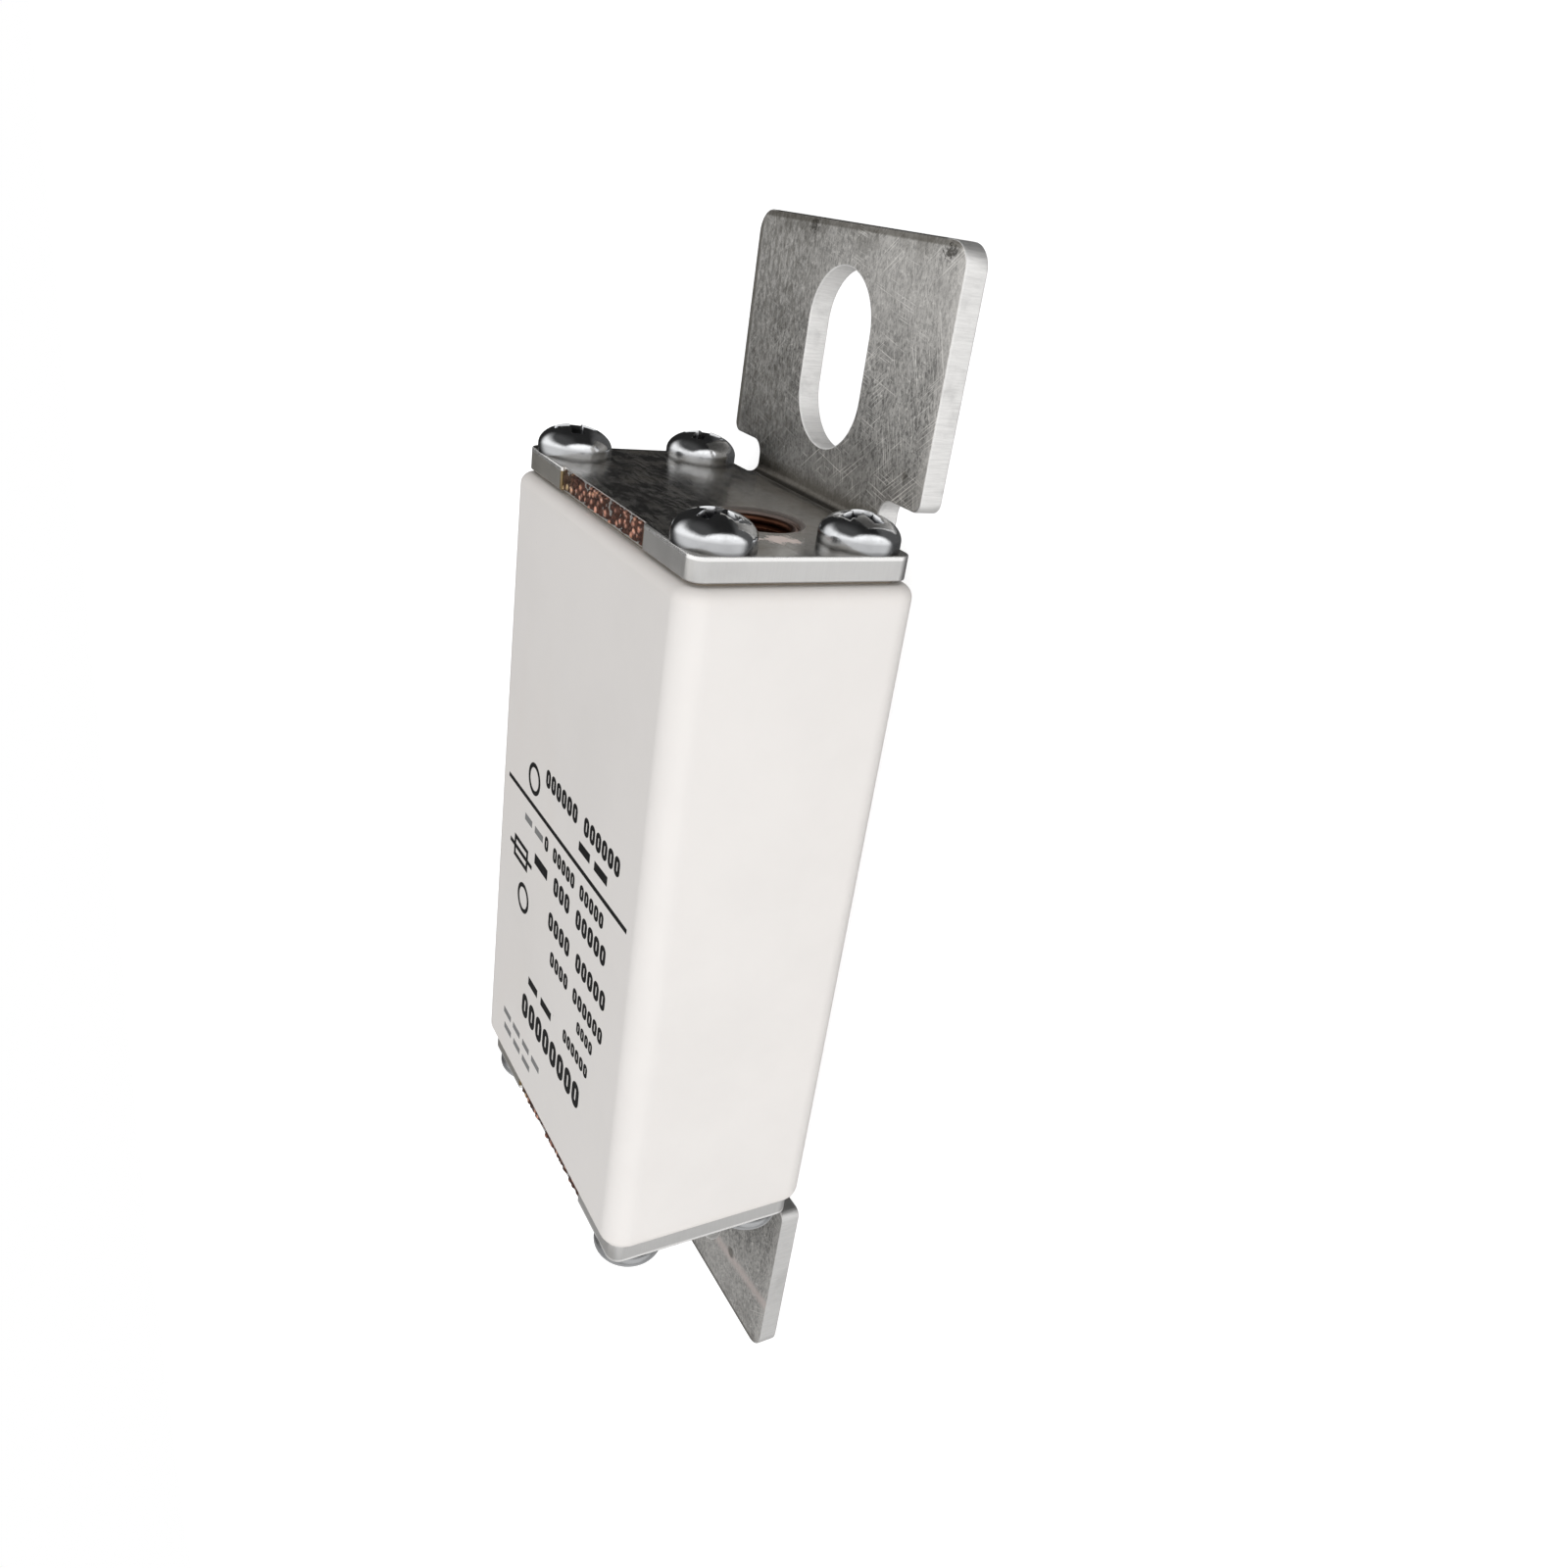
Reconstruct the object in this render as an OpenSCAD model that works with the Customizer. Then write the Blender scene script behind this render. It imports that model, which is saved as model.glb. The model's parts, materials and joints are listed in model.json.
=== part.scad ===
// High-speed fuse link: a square ceramic body between two bent, slotted blade terminals.
// It lies on its two mounting tags. X runs along the fuse, Y across it and Z up from the
// surface that the tags bolt to. The origin is midway between the tags, in that surface.

/* [Ceramic body] */
// Length of the ceramic body between its end faces
body_l = 62; // [54:0.1:64]
// Width of the ceramic body, along the wide faces
body_w = 36.8; // [35.5:0.1:44]
// Thickness of the ceramic body between its wide faces
body_h = 20.5; // [19.8:0.1:26]
// Radius of the four long edges
body_edge_r = 2.3; // [2.2:0.1:4]
// Rounding of the rim round each end face
body_rim_r = 1.1; // [0.3:0.1:1.1]
// Wall between the oval cavity and the body's narrow faces
end_wall = 5.4; // [5:0.1:6.5]
// Wall between the oval cavity and the body's wide faces
side_wall = 3.75; // [3.5:0.05:4.5]

/* [Terminals] */
// Thickness of the terminal sheet
sheet_t = 2; // [1.5:0.1:3]
// Height of the body's lower face above the tags' upper faces
tag_step = 0.1; // [0:0.1:1.5]
// Distance from the body's narrow faces in to the end plate's edges
plate_inset_w = 1.05; // [0.3:0.05:1.3]
// Distance from the body's wide faces in to the end plate's edges
plate_inset_h = 0.85; // [0.3:0.05:1.1]
// Corner radius of the end plate
plate_corner_r = 1.2; // [0.5:0.1:2]
// Inner radius of the bend between the end plate and the tag
bend_r = 0.8; // [0.5:0.1:1.1]
// Width of the bent neck between the relief notches
neck_w = 20.5; // [14:0.5:22]
// Length of the relief notches, from the end plate to the tag's heel
notch_l = 2.7; // [2.4:0.1:3]
// Fillet between the neck and the tag's heel
notch_r = 1.3; // [0.5:0.1:1.3]
// Width of the mounting tag
tag_w = 31.2; // [27:0.5:35]
// Corner radius at the tag's free end
tag_corner_r = 2; // [1:0.1:4]
// Corner radius at the tag's heel, beside the notches
tag_heel_r = 0.9; // [0.4:0.1:2]
// Distance from the slot's centre to the tag's free end
tag_beyond = 10.5; // [9:0.5:14]
// Distance from the end plate's outer face to the slot's centre
slot_setback = 11.7; // [10.7:0.1:15]
// Width of a mounting slot
slot_w = 9.4; // [8:0.1:11]
// End-to-end length of a mounting slot
slot_l = 14.4; // [11.5:0.1:15]
// Width of the rough edge where the terminal was broken out of its strip
break_w = 17.5; // [10:0.5:22]
// Depth by which that rough edge lies inside the plate's outline
break_depth = 0.3; // [0.1:0.1:0.6]

/* [Gaskets and contacts] */
// Thickness of the gasket between the body and the end plate
gasket_t = 0.3; // [0.2:0.1:0.8]
// Distance from the end plate's outline in to the gasket's
gasket_inset = 0.6; // [0.3:0.1:1]
// Thickness of the inner contact plate
contact_t = 3; // [2:0.5:5]
// Gap all round the contact plate in the cavity
contact_gap = 0.15; // [0.05:0.05:0.4]
// Diameter of the filling hole through the inner contact plate
contact_hole_d = 6; // [4:0.5:6]

/* [Screws] */
// Distance from the end plate's short edges in to the screw centres
screw_inset_w = 3.25; // [2.9:0.05:3.5]
// Distance from the end plate's long edges in to the screw centres
screw_inset_h = 3.15; // [2.9:0.05:3.3]
// Diameter of the screw's shank
screw_d = 3; // [2.5:0.1:3.2]
// Length of the screw under its head
screw_l = 12; // [8:0.5:16]
// Diameter of the pan head
head_d = 6.5; // [6:0.1:6.8]
// Height of the pan head
head_h = 2.6; // [2:0.1:3]
// Radius where the head's side turns into its crown
head_edge_r = 1.8; // [0.8:0.1:1.8]
// Radius of the head's low crown
crown_r = 7; // [5:0.5:14]
// Width across the cross recess
recess_w = 4.2; // [3:0.1:4.4]
// Width of one wing of the cross recess
recess_t = 1.1; // [0.6:0.1:1.2]
// Depth of the cross recess
recess_depth = 1.5; // [0.8:0.1:1.7]
// Gap round the shank in the ceramic
screw_gap = 0.1; // [0.05:0.05:0.2]
// Gap round the shank in the end plate and gasket
plate_hole_gap = 0.25; // [0.15:0.05:0.4]
// Depth of the blind hole beyond the screw's tip
blind_extra = 1; // [0.5:0.5:3]

/* [Filling hole] */
// Distance from the cavity's rounded end in to the filling hole's centre
filler_inset = 5.8; // [5:0.1:6.4]
// Distance of the filling hole's centre below the middle of the end plate
filler_drop = 0.95; // [0:0.05:1.2]
// Diameter of the filling hole through the end plate
filler_d = 7.2; // [6.4:0.1:7.4]
// Amount by which the hole's mouth flares outwards
flare_w = 0.4; // [0.2:0.1:0.6]
// Depth of that flare
flare_h = 0.2; // [0.1:0.05:0.4]
// Wall thickness of the cup-shaped plug
plug_wall = 0.4; // [0.3:0.05:0.45]
// Thickness of the bead round the plug's mouth
lip_w = 0.7; // [0.5:0.05:0.8]
// Depth of the bead's top under the outer face of the end plate
lip_sink = 0.35; // [0.1:0.05:0.45]
// Distance from the inner face of the end plate out to the plug's floor
plug_lift = 0.2; // [0.1:0.05:0.25]
// Gap between the plug and its hole
plug_gap = 0.05; // [0.02:0.01:0.1]

/* [Fuse elements] */
// Gap between the outermost strips and the cavity's wall
strip_wall_gap = 0.8; // [0.4:0.1:3]
// Gap between the strips and the filling passage beside them
passage_gap = 0.65; // [0.4:0.05:2]
// Thickness of a fuse element strip
strip_t = 0.2; // [0.1:0.05:0.3]
// Distance between neighbouring strips
strip_pitch = 2.4; // [2.2:0.1:2.4]
// Length of the welded foot at each end of a strip
foot_l = 1; // [0.8:0.1:1]
// Inner radius of the bend into the foot
foot_bend_r = 0.3; // [0.1:0.1:0.4]
// Distance between the rows of perforations
row_pitch = 6; // [4:0.5:8]
// Number of rows of perforations
row_count = 8; // [4:1:8]
// Diameter of one perforation
hole_d = 2; // [1.4:0.1:2.2]
// Distance between perforations in a row
hole_pitch = 2.7; // [2.5:0.1:3.4]
// Least width of metal left between the outer perforations and a strip's edge
strip_edge = 0.3; // [0.2:0.1:0.6]
// Gap between the sand filling and what it surrounds
sand_gap = 0.1; // [0.05:0.05:0.2]

/* [Hidden] */
$fn = 64;
over = 1;

element_count = 5;
mid_z = sheet_t + tag_step + body_h / 2;
end_x = body_l / 2;
cavity_w = body_w - 2 * end_wall;
cavity_h = body_h - 2 * side_wall;
filler_shift = cavity_w / 2 - filler_inset;
plate_w = body_w - 2 * plate_inset_w;
plate_h = body_h - 2 * plate_inset_h;
screw_y = plate_w / 2 - screw_inset_w;
screw_z = plate_h / 2 - screw_inset_h;
plate_x0 = end_x + gasket_t;
plate_x1 = plate_x0 + sheet_t;
bend_x = plate_x1 + bend_r;
bend_z = sheet_t + bend_r;
tag_x0 = plate_x1 + notch_l;
slot_x = plate_x1 + slot_setback;
tag_x1 = slot_x + tag_beyond;
contact_x0 = plate_x0 - contact_t;
plug_x0 = plate_x0 + plug_lift;
plug_h = sheet_t - plug_lift - lip_sink;
screw_hole_x0 = plate_x1 - screw_l - blind_extra;
pack_z = (element_count - 1) / 2 * strip_pitch + strip_t / 2;
cavity_chord = sqrt(pow(cavity_h / 2, 2) - pow(pack_z, 2));
strip_y1 = (cavity_w - cavity_h) / 2 + cavity_chord - strip_wall_gap;
strip_y0 = contact_hole_d / 2 + passage_gap - filler_shift;
strip_w = strip_y1 - strip_y0;
strip_shift = (strip_y1 + strip_y0) / 2;
perforations = floor((strip_w - hole_d - 2 * strip_edge) / hole_pitch) + 1;
sand_x = contact_x0 - strip_t - foot_bend_r - sand_gap;

ceramic_colour = "whitesmoke";
tin_colour = "silver";
zinc_colour = "gainsboro";
copper_colour = "peru";
silver_colour = "lightgray";
fibre_colour = "beige";
sand_colour = "khaki";

// Extrudes an outline drawn in the fuse's Y and Z, centred on the body, from x0 to x1
module along_fuse(x0, x1) {
    translate([x0, 0, mid_z])
        rotate([90, 0, 90])
            linear_extrude(x1 - x0)
                children();
}

// Turns a shape made along Z so that it points outwards on the filling hole's axis
module on_filler_axis(x) {
    translate([x, -filler_shift, mid_z - filler_drop])
        rotate([0, 90, 0])
            children();
}

// The left end is the right end's mirror image
module left_end() {
    mirror([1, 0, 0])
        children();
}

module rounded_rect(w, h, r) {
    square([w - 2 * r, h], center = true);
    square([w, h - 2 * r], center = true);
    for (x = [-1, 1], y = [-1, 1])
        translate([x * (w / 2 - r), y * (h / 2 - r)])
            circle(r);
}

// A long oval with full round ends
module oval(w, h) {
    square([w - h, h], center = true);
    for (x = [-1, 1])
        translate([x * (w - h) / 2, 0])
            circle(d = h);
}

module screw_holes_2d(gap) {
    for (y = [-1, 1], z = [-1, 1])
        translate([y * screw_y, z * screw_z])
            circle(d = screw_d + 2 * gap);
}

// One long edge of the ceramic: a round bar whose ends carry the rim's rounding
module edge_bar() {
    rotate([0, 90, 0])
        rotate_extrude()
            intersection() {
                rounded_rect(2 * body_edge_r, body_l, body_rim_r);
                translate([0, -body_l / 2])
                    square([body_edge_r, body_l]);
            }
}

// The ceramic's outer form: four round edge bars joined by two crossing slabs
module ceramic_form() {
    for (y = [-1, 1], z = [-1, 1])
        translate([0, y * (body_w / 2 - body_edge_r), mid_z + z * (body_h / 2 - body_edge_r)])
            edge_bar();
    translate([0, 0, mid_z + body_edge_r - body_h / 2])
        linear_extrude(body_h - 2 * body_edge_r)
            rounded_rect(body_l, body_w, body_rim_r);
    translate([0, body_w / 2 - body_edge_r, mid_z])
        rotate([90, 0, 0])
            linear_extrude(body_w - 2 * body_edge_r)
                rounded_rect(body_l, body_h, body_rim_r);
}

module end_holes() {
    along_fuse(screw_hole_x0, end_x + over)
        screw_holes_2d(screw_gap);
}

module ceramic_body() {
    color(ceramic_colour)
        difference() {
            ceramic_form();
            along_fuse(-end_x - over, end_x + over)
                oval(cavity_w, cavity_h);
            end_holes();
            left_end()
                end_holes();
        }
}

// The flat plate over the body's end
module plate_blank() {
    along_fuse(plate_x0, plate_x1)
        difference() {
            rounded_rect(plate_w, plate_h, plate_corner_r);
            screw_holes_2d(plate_hole_gap);
            translate([-break_w / 2, plate_h / 2 - break_depth])
                square([break_w, break_depth + over]);
        }
}

// Side section of the neck: up to the plate's middle, round the bend and on under the tag's heel
module neck_section() {
    translate([plate_x0, bend_z])
        square([sheet_t, mid_z - bend_z]);
    translate([bend_x, 0])
        square([tag_x0 + tag_heel_r - bend_x, sheet_t]);
    translate([bend_x, bend_z])
        difference() {
            intersection() {
                circle(bend_r + sheet_t);
                translate([-bend_r - sheet_t, -bend_r - sheet_t])
                    square(bend_r + sheet_t);
            }
            circle(bend_r);
        }
}

module neck() {
    translate([0, neck_w / 2, 0])
        rotate([90, 0, 0])
            linear_extrude(neck_w)
                neck_section();
}

// One half of the tag's outline: the square-shouldered heel and the round free corner
module tag_half() {
    square_y = tag_w / 2;
    translate([tag_x0 + tag_heel_r, 0])
        square([tag_x1 - tag_corner_r - tag_x0 - tag_heel_r, square_y]);
    translate([tag_x0, 0])
        square([tag_heel_r, square_y - tag_heel_r]);
    translate([tag_x0 + tag_heel_r, square_y - tag_heel_r])
        circle(tag_heel_r);
    translate([tag_x1 - tag_corner_r, 0])
        square([tag_corner_r, square_y - tag_corner_r]);
    translate([tag_x1 - tag_corner_r, square_y - tag_corner_r])
        circle(tag_corner_r);
    translate([tag_x0 - notch_r, neck_w / 2])
        difference() {
            square(notch_r);
            translate([0, notch_r])
                circle(notch_r);
        }
}

module tag_blank() {
    linear_extrude(sheet_t)
        difference() {
            union() {
                tag_half();
                mirror([0, 1])
                    tag_half();
            }
            translate([slot_x, 0])
                oval(slot_l, slot_w);
        }
}

// The filling hole through the end plate, with its flared mouth
module filler_bore() {
    on_filler_axis(plate_x0 - over)
        cylinder(h = sheet_t + 2 * over, d = filler_d);
    on_filler_axis(plate_x1 - flare_h)
        cylinder(h = flare_h, r1 = filler_d / 2, r2 = filler_d / 2 + flare_w);
}

module terminal() {
    color(tin_colour)
        difference() {
            union() {
                plate_blank();
                neck();
                tag_blank();
            }
            filler_bore();
        }
}

module right_terminal() {
    terminal();
}

module left_terminal() {
    left_end()
        terminal();
}

module gasket() {
    color(fibre_colour)
        along_fuse(end_x, plate_x0)
            difference() {
                rounded_rect(plate_w - 2 * gasket_inset, plate_h - 2 * gasket_inset, plate_corner_r);
                oval(cavity_w, cavity_h);
                screw_holes_2d(plate_hole_gap);
            }
}

module right_gasket() {
    gasket();
}

module left_gasket() {
    left_end()
        gasket();
}

// The inner contact plate sits in the cavity's mouth and bears on the end plate
module contact() {
    color(copper_colour)
        difference() {
            along_fuse(contact_x0, plate_x0)
                oval(cavity_w - 2 * contact_gap, cavity_h - 2 * contact_gap);
            on_filler_axis(contact_x0 - over)
                cylinder(h = contact_t + 2 * over, d = contact_hole_d);
        }
}

module right_contact() {
    contact();
}

module left_contact() {
    left_end()
        contact();
}

// A shallow cup with a beaded mouth, pressed into the filling hole
module filler_plug() {
    plug_r = filler_d / 2 - plug_gap;
    bead_r = lip_w / 2;
    color(copper_colour)
        on_filler_axis(plug_x0)
            rotate_extrude() {
                square([plug_r, plug_wall]);
                translate([plug_r - plug_wall, 0])
                    square([plug_wall, plug_h - bead_r]);
                translate([plug_r - bead_r, plug_h - bead_r])
                    circle(bead_r);
            }
}

module right_filler_plug() {
    filler_plug();
}

module left_filler_plug() {
    left_end()
        filler_plug();
}

// Half section of the pan head: a straight skirt, a round shoulder and a low crown
module head_section() {
    intersection() {
        square([head_d / 2, head_h]);
        rounded_rect(head_d, 2 * head_h, head_edge_r);
        translate([0, head_h - crown_r])
            circle(crown_r, $fn = 256);
    }
}

// The cross recess: two crossing slots, each narrowing as it goes down
module cross_recess() {
    intersection() {
        translate([0, 0, head_h - recess_depth])
            cylinder(h = recess_depth + over, d1 = recess_t, d2 = recess_w * (1 + over / recess_depth));
        union() {
            for (turn = [0, 90])
                rotate([0, 0, turn])
                    translate([-recess_w / 2, -recess_t / 2, 0])
                        cube([recess_w, recess_t, head_h + over]);
        }
    }
}

module screw() {
    difference() {
        union() {
            rotate_extrude()
                head_section();
            translate([0, 0, -screw_l])
                cylinder(h = screw_l + head_h / 4, d = screw_d);
        }
        cross_recess();
    }
}

// Every screw stands at its own angle, as driven
module end_screws() {
    turns = [12, 50, 31, 74];
    color(zinc_colour)
        translate([plate_x1, 0, mid_z])
            for (i = [0 : 3])
                translate([0, (2 * (i % 2) - 1) * screw_y, (2 * floor(i / 2) - 1) * screw_z])
                    rotate([turns[i], 0, 0])
                        rotate([0, 90, 0])
                            screw();
}

module right_screws() {
    end_screws();
}

module left_screws() {
    left_end()
        end_screws();
}

// Side section of one end of a strip, with its foot turned up against the contact plate
module foot_section() {
    translate([contact_x0 - strip_t - foot_bend_r, strip_t / 2 + foot_bend_r])
        difference() {
            intersection() {
                circle(strip_t + foot_bend_r);
                translate([0, -strip_t - foot_bend_r])
                    square(strip_t + foot_bend_r);
            }
            circle(foot_bend_r);
        }
    translate([contact_x0 - strip_t, strip_t / 2 + foot_bend_r])
        square([strip_t, foot_l - strip_t / 2 - foot_bend_r]);
}

module strip_section() {
    half_l = contact_x0 - strip_t - foot_bend_r;
    square([2 * half_l, strip_t], center = true);
    foot_section();
    mirror([1, 0])
        foot_section();
}

function strip_z(i) = (i - (element_count - 1) / 2) * strip_pitch;

// A perforated strip. Its feet turn towards the middle of the pack
module fuse_element(i) {
    up = strip_z(i) > 0 ? 1 : 0;
    color(silver_colour)
        translate([0, strip_shift, mid_z + strip_z(i)])
            difference() {
                mirror([0, 0, up])
                    translate([0, strip_w / 2, 0])
                        rotate([90, 0, 0])
                            linear_extrude(strip_w)
                                strip_section();
                for (row = [0 : row_count - 1], hole = [0 : perforations - 1])
                    translate([
                        (row - (row_count - 1) / 2) * row_pitch,
                        (hole - (perforations - 1) / 2) * hole_pitch,
                        -strip_t / 2 - over
                    ])
                        cylinder(h = strip_t + 2 * over, d = hole_d, $fn = 24);
            }
}

// The column of sand left in the filling passage, up to the plug
module sand_neck() {
    on_filler_axis(sand_x - over)
        cylinder(h = plug_x0 - sand_gap - sand_x + over, d = contact_hole_d - 2 * sand_gap);
}

module quartz_sand() {
    slot_y = strip_w + 2 * sand_gap;
    slot_z = strip_t + 2 * sand_gap;
    color(sand_colour)
        difference() {
            union() {
                along_fuse(-sand_x, sand_x)
                    oval(cavity_w - 2 * sand_gap, cavity_h - 2 * sand_gap);
                sand_neck();
                left_end()
                    sand_neck();
            }
            for (i = [0 : element_count - 1])
                translate([0, strip_shift, mid_z + strip_z(i)])
                    cube([2 * sand_x + 2 * over, slot_y, slot_z], center = true);
        }
}

ceramic_body();
right_terminal();
left_terminal();
right_gasket();
left_gasket();
right_contact();
left_contact();
right_filler_plug();
left_filler_plug();
right_screws();
left_screws();
fuse_element(0);  // fuse_element_1
fuse_element(1);  // fuse_element_2
fuse_element(2);  // fuse_element_3
fuse_element(3);  // fuse_element_4
fuse_element(4);  // fuse_element_5
quartz_sand();
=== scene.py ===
"""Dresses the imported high-speed fuse link: finishes, softened edges, broken copper, print and stage."""

import json
import math
from collections import namedtuple
from contextlib import contextmanager

import bmesh
import bpy
from bpy.props import FloatProperty, FloatVectorProperty, IntProperty, PointerProperty
from bpy.types import Operator, Panel, PropertyGroup
from mathutils import Matrix, Vector


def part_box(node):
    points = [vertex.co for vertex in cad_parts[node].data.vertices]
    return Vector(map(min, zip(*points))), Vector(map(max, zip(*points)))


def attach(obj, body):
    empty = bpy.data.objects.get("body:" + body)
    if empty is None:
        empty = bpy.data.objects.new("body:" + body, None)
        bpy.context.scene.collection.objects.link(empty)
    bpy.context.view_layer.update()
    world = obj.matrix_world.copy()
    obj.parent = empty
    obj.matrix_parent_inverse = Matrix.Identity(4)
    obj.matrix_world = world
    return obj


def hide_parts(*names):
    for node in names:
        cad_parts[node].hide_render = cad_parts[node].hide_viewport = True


bl_info = {
    "name": "High-speed fuse link",
    "version": (1, 0, 0),
    "blender": (4, 5, 0),
    "location": "View3D > Sidebar > Fuse",
    "description": "Builds the visible pieces and finishes of a square-bodied fuse link",
    "category": "Object",
}

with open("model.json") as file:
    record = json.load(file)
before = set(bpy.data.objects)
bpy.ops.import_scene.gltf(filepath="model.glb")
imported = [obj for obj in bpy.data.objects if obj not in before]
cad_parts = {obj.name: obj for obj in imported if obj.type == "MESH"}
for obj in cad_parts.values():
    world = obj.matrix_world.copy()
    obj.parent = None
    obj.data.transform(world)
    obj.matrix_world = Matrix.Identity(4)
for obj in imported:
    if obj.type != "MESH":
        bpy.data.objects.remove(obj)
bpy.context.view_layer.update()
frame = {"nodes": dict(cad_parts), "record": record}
MM = 0.001
ENDS = {"right": 1, "left": -1}
BODY_LOW, BODY_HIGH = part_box("ceramic_body")
PLATE_LOW, PLATE_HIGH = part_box("right_terminal")
SCREWS_LOW, SCREWS_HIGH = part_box("right_screws")
PLUG_LOW, PLUG_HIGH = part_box("right_filler_plug")
MIDDLE_Z = (BODY_LOW.z + BODY_HIGH.z) / 2
SHEET = 2 * MM
PLATE_FACE = PLATE_LOW.x + SHEET
FILLER_Y = (PLUG_LOW.y + PLUG_HIGH.y) / 2
FILLER_Z = (PLUG_LOW.z + PLUG_HIGH.z) / 2
FILLER_R = (PLUG_HIGH.z - PLUG_LOW.z) / 2
SLOTS = frame["record"]["mounts"][0]["dims"]
SLOT_X = SLOTS["spacing_x_mm"] / 2 * MM
SLOT_REACH = SLOTS["slot_length_mm"] / 2 * MM
SLOT_R = SLOTS["hole_r_mm"] * MM

# How far the torn edge's ends are from the middle, and the points across and along its patch
TORN_EDGE = 8.75 * MM
BREAK_GRID = 40, 320

# Two nicks in the right tag, in millimetres, and the distance of a pink streak on the left one
TAG_NICKS = [(54.8, 6.0), (54.6, -13.5)]
STREAK_X = 49.3 * MM

# The faces of a terminal: rolled sheet, stamped or rounded edge, and the end plate's outer face
ROLLED, STAMPED, GLOSSY = range(3)

# Degrees, in the order in which the nodes place the screws
SCREW_TURNS = [12, 50, 31, 74]
TURNS = [f"Turn {number + 1}" for number in range(len(SCREW_TURNS))]

# Printed rows, in millimetres: place along the fuse, first figure's Y, figures, figures in a group, height
PrintRow = namedtuple("PrintRow", "x start glyphs word height")
ZERO_ROWS = [
    PrintRow(5.9, -12.0, 13, 6, 1.8),
    PrintRow(-0.5, -9.9, 13, 5, 1.5),
    PrintRow(-3.4, -10.9, 9, 5, 1.9),
    PrintRow(-7.5, -11.7, 10, 5, 1.9),
    PrintRow(-11.1, -11.9, 11, 6, 1.6),
    PrintRow(-13.7, -10.2, 4, 9, 1.3),
    PrintRow(-16.7, -9.6, 6, 9, 1.4),
    PrintRow(-20.7, -7.9, 8, 9, 2.7),
]
BAR_ROWS = [
    PrintRow(3.5, -8.9, 2, 9, 0.9),
    PrintRow(-3.5, 4.8, 1, 9, 1.1),
    PrintRow(-17.2, 0.9, 2, 9, 0.9),
]
FAINT_ROWS = [
    PrintRow(-0.6, 5.9, 2, 9, 0.7),
    PrintRow(-25.2, 2.6, 4, 9, 0.7),
    PrintRow(-27.0, 5.2, 3, 9, 0.7),
]

# Width and pitch of a figure and of a bar, as shares of the row's height
ZERO_SHARES = 0.62, 0.76
BAR_SHARES = 3.4, 4.2

# The fuse symbol and the two rings on the wide face: places, the symbol's size and the rings' radius
SYMBOL = -5 * MM, 10.4 * MM
SYMBOL_SIZE = 4 * MM, 2.4 * MM
RINGS = [(-9.4 * MM, 9.0 * MM), (4.2 * MM, 8.0 * MM)]
RING_R = 1.6 * MM

# Place and width of each square lamp, in metres
LAMPS = {"key": ((0.02, -0.62, 0.26), 0.55), "top": ((0.05, -0.05, 0.75), 0.7)}

ROW_SOCKETS = {
    "Int": ["Figures", "Seed"],
    "Float": ["Group", "Pitch", "Height", "Width", "Stroke", "Depth"],
    "Vector": ["Place"],
    "Material": ["Finish"],
}


def number_setting(name, description, default, unit="NONE"):
    return FloatProperty(name=name, description=description, default=default, unit=unit)


def size_setting(name, description, millimetres):
    return number_setting(name, description, millimetres * MM, "LENGTH")


def vector_setting(name, description, default, subtype):
    return FloatVectorProperty(name=name, description=description, default=default, subtype=subtype)


def colour_setting(name, description, *colour):
    return vector_setting(name, description, colour, "COLOR")


class FuseEdges(PropertyGroup):
    """How far the edges of the pieces are softened"""

    sheet: size_setting("Sheet edge", "Rounding of the stamped sheet's outline", 0.38)
    slot: size_setting("Slot edge", "Rounding of the slots and filling holes", 0.15)
    screw: size_setting("Screw edge", "Rounding of the screw's recess and skirt", 0.12)
    crown: size_setting("Screw crown", "Height of the domed part of a screw's head", 1.9)
    plug: size_setting("Plug edge", "Rounding of the plug's lip", 0.08)


class FuseColours(PropertyGroup):
    """The colours of the finishes"""

    ceramic: colour_setting("Ceramic", "Warm white body", 0.86, 0.83, 0.805)
    tin: colour_setting("Tin plate", "Plating on the terminals", 0.58, 0.565, 0.54)
    sheared: colour_setting("Sheared edge", "Plating on the stamped edges", 0.92, 0.91, 0.895)
    zinc: colour_setting("Screws", "Bright zinc on the screws", 0.76, 0.77, 0.785)
    copper: colour_setting("Copper", "Clean copper", 0.62, 0.27, 0.16)
    torn: colour_setting("Torn copper", "Bare copper of the broken edges", 0.72, 0.34, 0.24)
    # Near-black brown, used both as copper oxide and as painted shade: in the plug's cup and between the torn
    # copper's lumps
    tarnish: colour_setting("Tarnish", "Dark brown copper oxide", 0.035, 0.012, 0.008)
    ink: colour_setting("Ink", "Print on the wide face", 0.004, 0.004, 0.004)
    silver: colour_setting("Silver", "Rolled silver of the strips", 0.83, 0.82, 0.79)
    fibre: colour_setting("Gasket", "Pressed fibre", 0.36, 0.31, 0.25)
    sand: colour_setting("Sand", "Quartz sand", 0.66, 0.57, 0.42)


class FuseBreak(PropertyGroup):
    """The rough copper edge where the blank was broken out of its strip"""

    length: size_setting("Length", "Length of the rough edge", 17.3)
    depth: size_setting("Depth", "Depth of the recess that it lies in", 0.3)
    grain: size_setting("Grain", "Size of one lump of copper", 0.72)
    relief: size_setting("Relief", "Height of the lumps", 0.34)
    seed: number_setting("Seed", "Chooses another set of lumps", 4)


class FusePrint(PropertyGroup):
    """The plain print on the wide face"""

    depth: size_setting("Ink depth", "Thickness of the ink", 0.02)
    stroke: number_setting("Stroke", "Width of a figure's line as a share of its height", 0.25)
    line: size_setting("Line", "Width of the other lines", 0.45)
    divider: size_setting("Divider", "Length of the line across the face", 30)
    divider_x: size_setting("Divider place", "Place of that line along the fuse", 1.5)
    seed: IntProperty(name="Seed", description="Chooses other bar lengths", default=3)


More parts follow.
